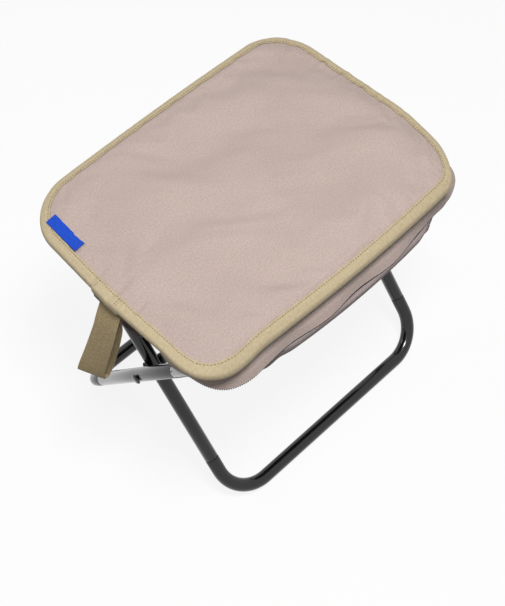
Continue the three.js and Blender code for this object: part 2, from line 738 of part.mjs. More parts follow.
const shellLowInset = -(gap + shellThickness);
const hemHeight = lidSeat - skirtFrontDrop;
const pouchRim = hemHeight - pouchHemRoom;
const pouchWaist = railHeight - pouchWaistDrop;
const pouchFront = lidFront;
const pouchBack = railReach + sleeveRadius * facetShare + gap + shellThickness;
const pouchShares = [
  { share: 0.33, reach: 0.6 },
  { share: 0.62, reach: 0.92 },
  { share: 1, reach: 1 },
];
const cornerRim = railHeight - cornerRimDrop;
const backRim = railHeight - sleeveRadius;
const wingReach = lidHalfX - skirtTuckDepth - skirtThickness - 2 * gap;
const sidewaysPower = 4;
const cornerBandShares = { x: [0.72, 0.86], y: [0.55, 0.78] };
const wingBandShares = [0.3, 0.55];
function pouchPoint(i, row, inset) {
  const waist = tubOutline(pouchWaist, shellLowInset + inset)[i];
  const rim = planOutline({
    halfX: pouchHalfWidth - inset,
    front: pouchFront - inset,
    back: pouchBack - inset,
    radius: pouchCornerRadius - inset,
    bulge: edgeBulge / 2,
  })[i];
  const sideways = Math.abs(rim.nx) ** sidewaysPower;
  const cornerness = ease(Math.abs(rim.x) / pouchHalfWidth, ...cornerBandShares.x)
    * ease(Math.abs(rim.y) / railReach, ...cornerBandShares.y);
  const straightRim = rim.y > 0 ? mix(backRim, pouchRim, sideways) : pouchRim;
  const rimHeight = mix(straightRim, cornerRim, cornerness);
  const z = mix(pouchWaist, rimHeight, row.share);
  const x = mix(waist.x, rim.x, row.reach);
  const swell = pouchFrontSwell * Math.max(0, -rim.ny) * Math.max(0, 1 - (rim.x / pouchHalfWidth) ** 2);
  const y = mix(waist.y, rim.y - swell, row.reach);
  const wing = row.share === 1
    ? sideways * (1 - ease(Math.abs(rim.y) / railReach, ...wingBandShares))
    : 0;
  const side = Math.sign(rim.x);
  const hem = lidShape({ x: side * wingReach, y: rim.y });
  return point(x + wing * (hem.x - side * pouchHalfWidth), y, z);
}
const stationCount = bindingStations.rim.length;
function shellGrid(inset) {
  const lowInset = shellLowInset + inset;
  const stations = Array.from({ length: stationCount }, (_, i) => i);
  return [
    onLevel(tubOutline(bagFloor, lowInset), bagFloor),
    onLevel(tubOutline(pouchWaist, lowInset), pouchWaist),
    ...pouchShares.map((row) => stations.map((i) => pouchPoint(i, row, inset))),
  ];
}

// The shell is sewn from a floor, a front, a back and two ends, which meet at seams down the
// bag's corners. A panel's end columns stop half a gap short of the seam.
const endSeam = longSteps / 2 + Math.ceil(cornerSteps / 2);
const frontSeam = longSteps / 2 + shortSteps + cornerSteps + Math.floor(cornerSteps / 2);
const panels = [
  { name: 'bag_end_left', from: endSeam, to: frontSeam },
  { name: 'bag_front', from: frontSeam, to: stationCount - frontSeam },
  { name: 'bag_end_right', from: stationCount - frontSeam, to: stationCount - endSeam },
  { name: 'bag_back', from: stationCount - endSeam, to: stationCount + endSeam },
];
const panelGrid = (grid, { from, to }) => grid.map((row) => {
  const points = Array.from({ length: to - from + 1 }, (_, i) => row[(from + i) % stationCount]);
  const short = (end, next) => end.clone().addScaledVector(next.clone().sub(end).normalize(), gap / 2);
  return [
    short(points[0], points[1]),
    ...points.slice(1, -1),
    short(points[points.length - 1], points[points.length - 2]),
  ];
});
for (const panel of panels) {
  const wall = wallBetween(panelGrid(shellGrid(0), panel), panelGrid(shellGrid(shellThickness), panel));
  place(panel.name, wall, bagCloth());
}
const floorRows = (z) => [
  poleRow(tubOutline(bagFloor, 0), z),
  onLevel(tubOutline(bagFloor, 0), z),
];
place('bag_floor', wallBetween(
  floorRows(bagFloor + shellThickness),
  floorRows(bagFloor),
  { wrapColumns: true },
), bagCloth());

// Fabric hinge: a strip from the bag's back rim up behind the rail to the lid.
const hingeY = railReach + sleeveRadius * facetShare + gap;
const hingeBottom = backRim + gap;
const hingeTop = lidSeat - 2 * gap;
const hingeShares = [-1, -0.5, 0, 0.5, 1];
const hingeGrid = (y) => hingeShares.map((share) => [hingeBottom, hingeTop]
  .map((z) => point(share * hingeHalfLength, y, z)));
place('lid_hinge_strip', wallBetween(hingeGrid(hingeY), hingeGrid(hingeY + sleeveThickness)), greyCloth());

// Label: a bare woven tag, sewn in beside the binding on the left.
const labelX = -(lidHalfX - bindingWidth - gap);
const labelRows = [0, 1];
const labelColumns = [0, 1 / 4, 1 / 2, 3 / 4, 1];
const labelRow = { pad: padThickness };
const labelGrid = (lift) => labelRows.map((across) => labelColumns.map((along) => {
  const y = labelOffset - labelLength / 2 + along * labelLength;
  const { x } = lidShape({ x: labelX + across * labelWidth, y });
  const near = coverTop(x, y, labelRow);
  return point(x, y, near + lift);
}));
place('side_label', wallBetween(labelGrid(gap + labelThickness), labelGrid(gap)), blueWeave());

// Flat tabs sewn under the binding, just outside the skirt: the carry strap hangs from one.
const strapStation = bindingStations.rim.findIndex((station) => station.nx < 0 && station.ny === 0
  && Math.abs(station.y - strapOffset) < lidHalfY / shortSteps);
const strapTop = skirtStation(strapStation).top;
const tabInner = lidHalfX - skirtInset + 2 * gap;
const strapInner = tabInner + lidLeftRoom;
const strapOuter = strapInner + strapThickness;
function tabBody(x, thickness, width, height, y, top) {
  return new THREE.BoxGeometry(thickness, width, height).translate(x, y, top - height / 2);
}
const strapMiddle = -(strapInner + strapThickness / 2);
const strapTab = tabBody(strapMiddle, strapThickness, strapWidth, strapTabHeight, strapOffset, strapTop);
place('strap_tab', strapTab, webbing());

// The loop of doubled webbing that stands out and down from its tab.
const loopInner = strapOuter + gap;
const loopShares = [
  [0, 0], [0.06, 0.06], [0.2, 0.2], [0.5, 0.52], [0.82, 0.84], [0.96, 0.96], [1, 1],
];
const loopTop = strapTop - loopStart;
const loopWidthShares = [0, 0.12, 0.7, 1, 1, 0.75, 0.3];
function loopStrand(sense, inset) {
  return loopShares.map(([out, down], i) => {
    const half = strapThickness + (strapOpening / 2) * loopWidthShares[i] - inset;
    const middle = loopInner + strapThickness + out * strapReach;
    const lift = out < 1 ? 0 : inset;
    return new THREE.Vector2(-(middle + sense * half), loopTop - down * strapDropHeight + lift);
  });
}
const loopShape = new THREE.Shape([...loopStrand(1, 0), ...loopStrand(-1, 0).reverse()]);
const holeStart = 2;
loopShape.holes.push(new THREE.Path([
  ...loopStrand(1, strapThickness).slice(holeStart),
  ...loopStrand(-1, strapThickness).slice(holeStart).reverse(),
]));
const loopBody = new THREE.ExtrudeGeometry(loopShape, { depth: strapWidth, bevelEnabled: false, steps: 1 })
  .rotateX(Math.PI / 2)
  .translate(0, strapOffset + strapWidth / 2, 0);
place('carry_loop', fromManifold(toManifold(loopBody)), webbing());

// Closure slider on the right side's straight hem, with its pull.
const sliderStation = skirtStation(stationCount - backStations - 1);
const coilX = lidHalfX - skirtTuckDepth - skirtThickness / 2;
const coilZ = coilLevel(sliderStation) - coilSize / 2;
const slotHalf = coilSize / 2 + sliderRoom;
const bodyHalf = slotHalf + sliderWall;
const throatHalf = skirtThickness / 2 + 2 * gap;
const sliderShape = new THREE.Shape([
  new THREE.Vector2(-bodyHalf, -bodyHalf),
  new THREE.Vector2(bodyHalf, -bodyHalf),
  new THREE.Vector2(bodyHalf, bodyHalf),
  new THREE.Vector2(throatHalf, bodyHalf),
  new THREE.Vector2(throatHalf, slotHalf),
  new THREE.Vector2(slotHalf, slotHalf),
  new THREE.Vector2(slotHalf, -slotHalf),
  new THREE.Vector2(-slotHalf, -slotHalf),
  new THREE.Vector2(-slotHalf, slotHalf),
  new THREE.Vector2(-throatHalf, slotHalf),
  new THREE.Vector2(-throatHalf, bodyHalf),
  new THREE.Vector2(-bodyHalf, bodyHalf),
]);
const sliderRun = { depth: sliderLength, bevelEnabled: false, steps: 1 };
const sliderBlock = new THREE.ExtrudeGeometry(sliderShape, sliderRun)
  .rotateX(Math.PI / 2)
  .translate(coilX, sliderOffset + sliderLength / 2, coilZ);
const pinRadius = pullPinDiameter / 2;
const eyeRadius = pinRadius + gap + pullEyeWall;
const pinX = coilX + bodyHalf + gap + eyeRadius;
const pinZ = coilZ;
const earThickness = pullEyeWall;
const earGap = pullWidth / 2 + gap;
const alongY = (radius, length) => new THREE.CylinderGeometry(radius, radius, length, tubeSides);
const earStart = coilX + bodyHalf - sliderWall;
const earReach = pinX + pinRadius + pullEyeWall / 2 - earStart;
const earHeight = 2 * pinRadius + pullEyeWall;
const earBlock = (sense) => new THREE.BoxGeometry(earReach, earThickness, earHeight)
  .translate(earStart + earReach / 2, sliderOffset + sense * (earGap + earThickness / 2), pinZ);
const pin = alongY(pinRadius, 2 * earGap + earThickness).translate(pinX, sliderOffset, pinZ);
const sliderSolid = [earBlock(-1), earBlock(1), pin]
  .reduce((solid, piece) => solid.add(toManifold(piece)), toManifold(sliderBlock));
place('zip_slider', fromManifold(sliderSolid), steel());

const pullEye = alongY(eyeRadius, pullWidth).translate(pinX, sliderOffset, pinZ);
const pullPlate = new THREE.BoxGeometry(pullThickness, pullWidth, pullLength)
  .translate(pinX, sliderOffset, pinZ - pinRadius - pullEyeWall / 2 - gap - pullLength / 2);
const pullHole = alongY(pinRadius + gap, pullWidth + 2 * cutOverrun).translate(pinX, sliderOffset, pinZ);
const pullSolid = toManifold(pullEye).add(toManifold(pullPlate)).subtract(toManifold(pullHole));
place('zip_pull', fromManifold(pullSolid), steel());

// A tab behind the slider covers the end of the coil.
const endTabOffset = sliderOffset + sliderLength / 2 + gap + endTabWidth / 2;
const endTabTop = Math.min(...skirtIndex
  .filter((i) => bindingStations.rim[i].nx > 0 && bindingStations.rim[i].y > 0)
  .map((i) => skirtStation(i).top));
const endTabMiddle = tabInner + trimThickness / 2;
const endTab = tabBody(endTabMiddle, trimThickness, endTabWidth, endTabHeight, endTabOffset, endTabTop);
place('zip_end_tab', endTab, greyCloth());

// The origin goes to the floor under the middle of the stool's extent, strap included.
const extent = new THREE.Box3().setFromObject(stool);
const middle = extent.getCenter(point(0, 0, 0));
stool.position.set(-middle.x, -middle.y, -extent.min.z);
stool.updateMatrixWorld(true);

export default stool;
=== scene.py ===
import math
import bpy
import bmesh
import numpy as np
from mathutils import Matrix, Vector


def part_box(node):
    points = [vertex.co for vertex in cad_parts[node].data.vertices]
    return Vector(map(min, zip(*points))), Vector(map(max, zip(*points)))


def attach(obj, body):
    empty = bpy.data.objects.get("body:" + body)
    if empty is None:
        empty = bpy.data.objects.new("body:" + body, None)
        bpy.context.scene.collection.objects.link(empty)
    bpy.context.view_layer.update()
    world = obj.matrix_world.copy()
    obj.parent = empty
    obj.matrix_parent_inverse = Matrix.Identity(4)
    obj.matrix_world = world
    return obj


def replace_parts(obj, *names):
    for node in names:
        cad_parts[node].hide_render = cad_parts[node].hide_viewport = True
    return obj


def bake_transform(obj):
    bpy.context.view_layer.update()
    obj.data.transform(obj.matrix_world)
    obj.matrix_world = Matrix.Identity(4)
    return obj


# Folding cooler stool: black tube frames, a cloth bag between the rails and a padded, taped lid.
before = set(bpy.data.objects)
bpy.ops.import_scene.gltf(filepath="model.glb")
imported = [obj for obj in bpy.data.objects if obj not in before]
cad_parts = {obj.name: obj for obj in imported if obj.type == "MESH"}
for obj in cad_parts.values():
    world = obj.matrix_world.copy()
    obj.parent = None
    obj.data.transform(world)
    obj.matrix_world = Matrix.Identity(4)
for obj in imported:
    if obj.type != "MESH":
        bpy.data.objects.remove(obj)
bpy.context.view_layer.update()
print("frame loaded", len(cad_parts), "nodes")

# Shapes are worked out in millimetres from a point on the floor under the pivot.
footA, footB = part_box("foot_bow_a"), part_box("foot_bow_b")
middle = np.array([(footA[0].x + footA[1].x) / 2, (footA[0].y + footB[1].y) / 2, 0])


def toFrame(points):
    # millimetres from the pivot's foot to metres in the frame
    return np.asarray(points, float) / 1000 + middle


def mix(a, b, t):
    return a + (b - a) * t


def ease(value, low, high):
    # smooth step: 3t^2 - 2t^3, where t is the share of the way from low to high
    t = np.clip((value - low) / (high - low), 0, 1)
    return t * t * (3 - 2 * t)


def ripple(s, lengths, phase=0.0):
    # mean of sines of unlike wave lengths, an uneven wave that is the same at each run
    waves = [np.sin(2 * np.pi * s / length + phase + 1.7 * k) for k, length in enumerate(lengths)]
    return sum(waves) / len(lengths)


def unit(v):
    return v / np.maximum(np.linalg.norm(v, axis=-1, keepdims=True), 1e-9)


def joined(*parts):
    # coordinates side by side on a new last axis, stretched to one shape
    return np.stack(np.broadcast_arrays(*parts), -1)


def gridOf(rows, columns):
    return np.meshgrid(rows, columns, indexing="ij")


def mapOf(rows, columns):
    # a grid of the pairs of the two lists of values
    return joined(*gridOf(rows, columns))


def atHeight(plan, z):
    # x and y with a height beside them
    return np.concatenate([plan, z[..., None]], -1)


# colour and nodes


def linear(code):
    # sRGB hex to linear: ((c + 0.055) / 1.055) ^ 2.4, or c / 12.92 in the dark end
    parts = [int(code[i:i + 2], 16) / 255 for i in (1, 3, 5)]
    return [c / 12.92 if c <= 0.04045 else ((c + 0.055) / 1.055) ** 2.4 for c in parts] + [1.0]


def outputOf(source):
    # a node's first output, or the socket itself
    return source.outputs[0] if hasattr(source, "outputs") else source


def addNode(tree, kind, settings=None, links=None):
    # a shader node with its properties or socket values set, and its inputs linked
    node = tree.nodes.new("ShaderNode" + kind)
    for key, value in (settings or {}).items():
        if isinstance(key, int) or key in node.inputs:
            node.inputs[key].default_value = value
        else:
            setattr(node, key, value)
    for key, source in (links or {}).items():
        tree.links.new(outputOf(source), node.inputs[key])
    return node


def newMaterial(name, settings):
    # a principled material and its node tree
    material = bpy.data.materials.new(name)
    material.use_nodes = True
    tree = material.node_tree
    for key, value in settings.items():
        tree.nodes["Principled BSDF"].inputs[key].default_value = value
    return material, tree


def finishMaterial(tree, tone, colours, roughness, height, strength, distance):
    # links the colour between two hex values, the roughness where it varies, and the relief
    ends = {"data_type": "RGBA", 6: linear(colours[0]), 7: linear(colours[1])}
    colour = addNode(tree, "Mix", ends, {0: tone}).outputs[2]
    bump = addNode(tree, "Bump", {"Strength": strength, "Distance": distance}, {"Height": height})
    for key, source in (("Base Color", colour), ("Roughness", roughness), ("Normal", bump)):
        if source is not None:
            tree.links.new(outputOf(source), tree.nodes["Principled BSDF"].inputs[key])


def waveOf(tree, value, length):
    # sine of a length in millimetres, one turn for each wave length
    turn = addNode(tree, "Math", {"operation": "MULTIPLY", 1: 2 * math.pi / length}, {0: value})
    return addNode(tree, "Math", {"operation": "SINE"}, {0: turn})


def clothAxes(tree):
    # the cloth's own map, in millimetres along its two threads
    uv = addNode(tree, "UVMap", {"uv_map": "cloth"})
    return uv, *addNode(tree, "SeparateXYZ", {}, {0: uv}).outputs[:2]


clothPitch = 1.5  # a polyester thread is 0.3 mm; drawn coarser, as far as the render can show


def wovenCloth(name, dark, light, sheen):
    # plain-weave polyester oxford: matt, with a fine grain of crossing threads and slight slubs
    material, tree = newMaterial(name, {
        "Roughness": 0.82, "Specular IOR Level": 0.3, "Sheen Weight": sheen, "Sheen Roughness": 0.5})
    place = addNode(tree, "TexCoord").outputs["Object"]
    uv, along, across = clothAxes(tree)
    threads = {0: waveOf(tree, along, clothPitch), 1: waveOf(tree, across, clothPitch)}
    weave = addNode(tree, "Math", {"operation": "MULTIPLY"}, threads)
    slub = addNode(tree, "TexNoise", {"Scale": 0.55, "Detail": 3.0, "Roughness": 0.6}, {"Vector": uv})
    broad = addNode(tree, "TexNoise", {"Scale": 14.0, "Detail": 2.0}, {"Vector": place})
    tone = addNode(tree, "Math", {"operation": "MULTIPLY_ADD", 1: 0.12, 2: -0.25}, {0: weave})
    tone = addNode(tree, "Math", {"operation": "MULTIPLY_ADD", 1: 1.35}, {0: slub, 2: tone})
    tone = addNode(tree, "Math", {"operation": "MULTIPLY_ADD", 1: 0.3, "use_clamp": True},
                   {0: broad, 2: tone})
    rise = addNode(tree, "Math", {"operation": "MULTIPLY_ADD", 1: 0.6}, {0: slub, 2: weave})
    finishMaterial(tree, tone, (dark, light), None, rise, 0.35, 0.00025)
    return material


def ribbedTape(name, dark, light, pitch):
    # grosgrain tape: matt, with fine ribs square to its length
    material, tree = newMaterial(name, {
        "Roughness": 0.8, "Specular IOR Level": 0.3, "Sheen Weight": 0.15, "Sheen Roughness": 0.5})
    uv, along = clothAxes(tree)[:2]
    ribs = waveOf(tree, along, pitch)
    noise = addNode(tree, "TexNoise", {"Scale": 0.35, "Detail": 3.0}, {"Vector": uv})
    tone = addNode(tree, "Math", {"operation": "MULTIPLY_ADD", 1: 0.14, "use_clamp": True},
                   {0: ribs, 2: noise})
    finishMaterial(tree, tone, (dark, light), None, ribs, 0.4, 0.0002)
    return material


def herringbone(name, dark, light):
    # polyester webbing: slanted yarns that turn back every few millimetres across the width
    material, tree = newMaterial(name, {"Roughness": 0.75, "Specular IOR Level": 0.35, "Sheen Weight": 0.1})
    uv, along, across = clothAxes(tree)
    fold = addNode(tree, "Math", {"operation": "PINGPONG", 1: 3.75}, {0: across})
    yarn = waveOf(tree, addNode(tree, "Math", {"operation": "ADD"}, {0: along, 1: fold}), 1.9)
    noise = addNode(tree, "TexNoise", {"Scale": 0.4, "Detail": 2.0}, {"Vector": uv})
    tone = addNode(tree, "Math", {"operation": "MULTIPLY_ADD", 1: 0.38, "use_clamp": True},
                   {0: yarn, 2: noise})
    finishMaterial(tree, tone, (dark, light), None, yarn, 0.5, 0.0004)
    return material


def glossPaint():
    # black gloss powder coat on steel tube: deep black, sharp streaks, faint orange peel
    material, tree = newMaterial("gloss_powder_coat_black", {
        "Specular IOR Level": 0.15, "Coat Weight": 0.8, "Coat Roughness": 0.02, "Coat IOR": 1.5})
    place = addNode(tree, "TexCoord").outputs["Object"]
    peel = addNode(tree, "TexNoise", {"Scale": 260.0, "Detail": 1.0}, {"Vector": place})  # 4 mm ripples
    dust = addNode(tree, "TexNoise", {"Scale": 60.0, "Detail": 4.0}, {"Vector": place})
    rough = addNode(tree, "MapRange", {"To Min": 0.16, "To Max": 0.34}, {"Value": dust})
    finishMaterial(tree, dust, ("#050608", "#0d0e11"), rough, peel, 0.06, 0.0002)
    return material


def mouldedPlastic(name, dark, light, roughness):
    # moulded plastic: a soft sheen with the fine grain of the mould
    material, tree = newMaterial(name, {"Specular IOR Level": 0.5})
    place = addNode(tree, "TexCoord").outputs["Object"]
    grain = addNode(tree, "TexNoise", {"Scale": 1400.0, "Detail": 2.0}, {"Vector": place})  # 0.7 mm grain
    tone = addNode(tree, "TexNoise", {"Scale": 90.0, "Detail": 2.0}, {"Vector": place})
    ends = {"To Min": roughness - 0.08, "To Max": roughness + 0.1}
    rough = addNode(tree, "MapRange", ends, {"Value": tone})
    finishMaterial(tree, tone, (dark, light), rough, grain, 0.15, 0.0001)
    return material


def platedZinc():
    # nickel-plated zinc casting: bright metal with fine rubbed scratches
    material, tree = newMaterial("nickel_plated_zinc", {"Metallic": 1.0})
    place = addNode(tree, "TexCoord").outputs["Object"]
    long = addNode(tree, "Mapping", {"Scale": (1.0, 1.0, 0.12)}, {"Vector": place})
    scratch = addNode(tree, "TexNoise", {"Scale": 1600.0, "Detail": 3.0}, {"Vector": long})
    rough = addNode(tree, "MapRange", {"To Min": 0.2, "To Max": 0.42}, {"Value": scratch})
    finishMaterial(tree, scratch, ("#a9abae", "#cfd0d2"), rough, scratch, 0.08, 0.0001)
    return material


def laminatedFoil(name):
    # aluminised film on foam: bright, crinkled, welded in a diamond grid
    material, tree = newMaterial(name, {"Metallic": 0.9})
    uv, along, across = clothAxes(tree)
    ways = ("ADD", "SUBTRACT")
    slants = [addNode(tree, "Math", {"operation": way}, {0: along, 1: across}) for way in ways]
    lines = [addNode(tree, "Math", {"operation": "PINGPONG", 1: 14.0}, {0: slant}) for slant in slants]
    least = addNode(tree, "Math", {"operation": "MINIMUM"}, dict(enumerate(lines)))
    weld = addNode(tree, "MapRange", {"From Min": 0.4, "From Max": 4.0}, {"Value": least})
    crinkle = addNode(tree, "TexNoise", {"Scale": 0.16, "Detail": 4.0, "Distortion": 1.2}, {"Vector": uv})
    rise = addNode(tree, "Math", {"operation": "ADD"}, {0: weld, 1: crinkle})
    rough = addNode(tree, "MapRange", {"To Min": 0.2, "To Max": 0.45}, {"Value": crinkle})
    finishMaterial(tree, crinkle, ("#bfc2c4", "#dcdddd"), rough, rise, 0.6, 0.0009)
    return material


def cellFoam():
    # closed-cell polyethylene foam: matt white with a fine pocked skin
    material, tree = newMaterial("polyethylene_foam", {"Roughness": 0.9, "Specular IOR Level": 0.25})
    place = addNode(tree, "TexCoord").outputs["Object"]
    cells = addNode(tree, "TexVoronoi", {"Scale": 900.0}, {"Vector": place})  # 1 mm cells
    finishMaterial(tree, cells, ("#dedcd5", "#efede8"), None, cells, 0.3, 0.0003)
    return material


paint = glossPaint()
lidCloth = wovenCloth("polyester_oxford_greige", "#a4928a", "#cab8b0", 0.15)
# the bag's greige is drawn darker than the lid's: painted shade for the bag, flap and sleeves that sit under
# the lid
shadedBagCloth = wovenCloth("polyester_oxford_bag_painted_shade", "#8d7f7c", "#aea19f", 0.1)
bindingTape = ribbedTape("polyester_tape_khaki", "#ab9b78", "#d1c1a1", 1.5)
strapWeb = herringbone("polyester_webbing_khaki", "#7c6a48", "#b8a57e")
labelWeave = ribbedTape("woven_label_blue", "#0530a2", "#0d58dc", 1.2)
foil = laminatedFoil("aluminised_film")
foam = cellFoam()
coilNylon = mouldedPlastic("nylon_coil_black", "#151517", "#252528", 0.45)
zipTape = ribbedTape("polyester_zip_tape_black", "#1b1a1c", "#2c2a2d", 1.2)
capPlastic = mouldedPlastic("moulded_nylon_black", "#0e0f11", "#1c1d20", 0.38)
boardPlastic = mouldedPlastic("polypropylene_board_black", "#1a1b1d", "#2a2b2e", 0.5)
zinc = platedZinc()
# the thread's own darker khaki, darkened further as painted shade: the stitches stand in for the shadow line
# along the tape's inner edge
khakiThreadAndShade = ribbedTape("polyester_thread_khaki_and_painted_shade", "#5f4e2e", "#8a764c", 0.8)
greyThread = ribbedTape("polyester_thread_greige", "#a59689", "#c9bbb0", 0.8)
print("materials made")

# meshes


def addMesh(name, points, faces, uv, material, sharp=50):
    # a smooth mesh of quads with a cloth map, its doubles merged
    mesh = bpy.data.meshes.new(name)
    mesh.vertices.add(len(points))
    mesh.vertices.foreach_set("co", toFrame(points).astype(np.float32).ravel())
    mesh.loops.add(faces.size)
    mesh.polygons.add(len(faces))
    mesh.polygons.foreach_set("loop_start", np.arange(0, faces.size, faces.shape[1], dtype=np.int32))
    mesh.polygons.foreach_set("vertices", faces.ravel().astype(np.int32))
    mesh.update(calc_edges=True)
    mesh.uv_layers.new(name="cloth").data.foreach_set("uv", uv.astype(np.float32).ravel())
    scratch = bmesh.new()
    scratch.from_mesh(mesh)
    bmesh.ops.remove_doubles(scratch, verts=scratch.verts, dist=1e-6)
    scratch.to_mesh(mesh)
    scratch.free()
    mesh.validate()
    mesh.polygons.foreach_set("use_smooth", np.ones(len(mesh.polygons), bool))
    mesh.set_sharp_from_angle(angle=math.radians(sharp))
    mesh.materials.append(material)
    obj = bpy.data.objects.new(name, mesh)
    bpy.context.scene.collection.objects.link(obj)
    return obj


def gridSkin(outer, inner=None, uv=None, wrapRows=False, wrapColumns=False):
    # quads of a grid of points and, where there is one, of the grid behind it, with their free edges closed,
    # turned so that the volume that they enclose is positive
    rows, columns = outer.shape[:2]
    points = outer.reshape(-1, 3)
    uv = outer[..., :2] if uv is None else uv
    size = rows * columns
    i, j = gridOf(np.arange(rows - (not wrapRows)), np.arange(columns - (not wrapColumns)))
    corners = [(i, j), (i + 1, j), (i + 1, j + 1), (i, j + 1)]
    cells = np.stack([(a % rows) * columns + b % columns for a, b in corners], -1).reshape(-1, 4)
    cellUv = [uv[np.minimum(a, uv.shape[0] - 1), np.minimum(b, uv.shape[1] - 1)] for a, b in corners]
    cellUv = np.stack(cellUv, -2).reshape(-1, 4, 2)
    faces, faceUv = [cells], [cellUv]
    if inner is not None:
        points = np.concatenate([points, inner.reshape(-1, 3)])
        faces.append(cells[:, ::-1] + size)
        faceUv.append(cellUv[:, ::-1])
        at = np.arange(size).reshape(rows, columns)
        uvAt = uv[:rows, :columns].reshape(-1, 2)
        rims = [] if wrapRows else [(at[0], wrapColumns, -1), (at[-1], wrapColumns, 1)]
        rims += [] if wrapColumns else [(at[:, 0], wrapRows, 1), (at[:, -1], wrapRows, -1)]
        for a, ring, turn in rims:
            b = np.roll(a, -1)
            a, b = (a, b) if ring else (a[:-1], b[:-1])
            faces.append(np.stack([b, a, a + size, b + size], -1)[:, ::turn])
            faceUv.append(uvAt[faces[-1] % size])
    faces, faceUv = np.concatenate(faces), np.concatenate(faceUv)
    p = points[faces]
    volume = sum(np.einsum("ij,ij->", p[:, 0], np.cross(p[:, a], p[:, a + 1])) for a in (1, 2))
    if volume < 0:
        faces, faceUv = faces[:, ::-1], faceUv[:, ::-1]
    return points, faces, faceUv


def gridPiece(name, outer, inner, material, slot, uv=None, wrapRows=False, wrapColumns=False, sharp=50):
    obj = addMesh(name, *gridSkin(outer, inner, uv, wrapRows, wrapColumns), material, sharp)
    return obj


def lengthAlong(points):
    # running length of a line of points
    return np.concatenate([[0], np.cumsum(np.linalg.norm(np.diff(points, axis=0), axis=1))])


def closed(line):
    return np.concatenate([line, line[:1]])


def interpRows(places, s, rows):
    # the rows' three coordinates read off at places along s
    return joined(*(np.interp(places, s, rows[:, k]) for k in range(3)))


def tubeAlong(path, radius, sides):
    # a round section carried along a path, square to it, its ends drawn in to a point
    tangent = unit(np.gradient(path, axis=0))
    up = np.where(np.abs(tangent[:, 2:]) > 0.9, [[1.0, 0, 0]], [[0, 0, 1.0]])
    across = unit(np.cross(up, tangent))
    angle = np.linspace(0, 2 * np.pi, sides, endpoint=False)[None, :, None]
    size = np.full(len(path), radius, float)
    size[[0, -1]] = 1e-4
    ring = across[:, None] * np.cos(angle) + np.cross(tangent, across)[:, None] * np.sin(angle)
    return path[:, None] + ring * size[:, None, None]


def stitchRow(name, path, normals, material, pitch=3.4, length=2.5, thick=0.34):
    # short flat capsules laid along a line, each a rounded bar of 6 sides and 5 rings
    s, normals = lengthAlong(path), np.broadcast_to(normals, path.shape)
    places = np.arange(pitch / 2, s[-1], pitch)
    ahead = interpRows(np.minimum(places + 1, s[-1]), s, path)
    ahead = unit(ahead - interpRows(np.maximum(places - 1, 0), s, path))[:, None, None]
    normal = unit(interpRows(places, s, normals))[:, None, None]
    side = unit(np.cross(normal, ahead))
    bars = np.array([-0.5, -0.38, 0.0, 0.38, 0.5])[:, None, None]
    sizes = np.array([0.02, 0.8, 1.0, 0.8, 0.02])[:, None, None]
    sunk = np.array([-0.5, 0.1, 0.45, 0.1, -0.5])[:, None, None] * thick
    angle = np.linspace(0, 2 * np.pi, 6, endpoint=False)[:, None]
    local = interpRows(places, s, path)[:, None, None] + ahead * bars * length
    local = local + normal * (sunk + sizes * thick * np.sin(angle)) + side * (sizes * thick * np.cos(angle))
    one = gridSkin(local[0], wrapColumns=True, uv=np.zeros((5, 7, 2)))[1]
    faces = (one[None] + (np.arange(len(places)) * 30)[:, None, None]).reshape(-1, 4)
    points = local.reshape(-1, 3)
    obj = addMesh(name, points, faces, points[faces][..., :2], material)
    return obj


print("helpers ready")

# tube frames

tube = {"radius": 8.0, "wall": 1.2, "spigotRadius": 6.25, "spigotLength": 24.0, "bend": 45.0, "bendSteps": 20,
        "footLeg": 64.0, "topLeg": 91.0, "gap": 0.3, "shoulder": 0.7, "sides": 40, "pivotHeight": 161.0,
        "footReach": 122.5, "railReach": 120.0, "halfWidth": {"a": 156.0, "b": 173.6}}
riseRatio = (tube["pivotHeight"] - tube["radius"]) / tube["footReach"]
slope = math.hypot(1, riseRatio)
railHeight = tube["pivotHeight"] + tube["railReach"] * riseRatio
roundTube = np.linspace(0, 2 * np.pi, tube["sides"], endpoint=False)[:, None]


def bowRings(crossbar, up, stations, radius):
    # a circle of the given radius at each station (x, distance up the leg, heading) of a bow's centre line
    x, s, heading = stations
    across = joined(np.cos(heading), np.sin(heading) * up[1], np.sin(heading) * up[2])
    centre = crossbar + s[:, None] * up
    centre[:, 0] = x
    ring = across[:, None] * np.cos(roundTube) + np.array([0, -up[2], up[1]]) * np.sin(roundTube)
    return centre[:, None] + ring * radius[:, None, None]


def bowStations(halfWidth, ends, turn, straight=()):
    # leg, arc, crossbar, arc, leg; ends are the stations up the first leg, turn the angles round its arc
    x = np.r_[np.full(len(ends), -halfWidth), -halfWidth + tube["bend"] * (1 - np.cos(turn))]
    s = np.r_[ends, tube["bend"] * (1 - np.sin(turn))]
    heading = np.r_[np.zeros(len(ends)), turn]
    bar = np.zeros(len(straight))
    headings = np.r_[heading, bar + np.pi / 2, np.pi - heading[::-1]]
    return np.r_[x, straight, -x[::-1]], np.r_[s, bar, s[::-1]], headings


def bowPiece(name, halfWidth, crossbar, up, leg, body, node):
    # a bent tube that ends in a swage and a spigot on both legs
    shoulder, spigot = tube["shoulder"], tube["spigotRadius"]
    tip = leg + tube["spigotLength"]
    ends = np.array([tip, tip - 1, leg + 0.02, leg, leg - shoulder * 0.3, leg - shoulder])
    radius = tube["radius"]
    skin = np.array([spigot - 0.8, spigot, spigot, radius - shoulder, radius - shoulder * 0.3, radius])
    bore = np.array([spigot] * 3 + [radius] * 3) - tube["wall"]
    stations = bowStations(halfWidth, ends, np.linspace(0, np.pi / 2, tube["bendSteps"] + 1))
    rest = len(stations[0]) - 2 * len(ends)
    outer, inner = (bowRings(crossbar, up, stations, np.r_[v, np.full(rest, v[-1]), v[::-1]])
                    for v in (skin, bore))
    obj = gridPiece(name, outer, inner, paint, "black_tube", wrapColumns=True, sharp=40)
    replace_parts(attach(obj, body), node)


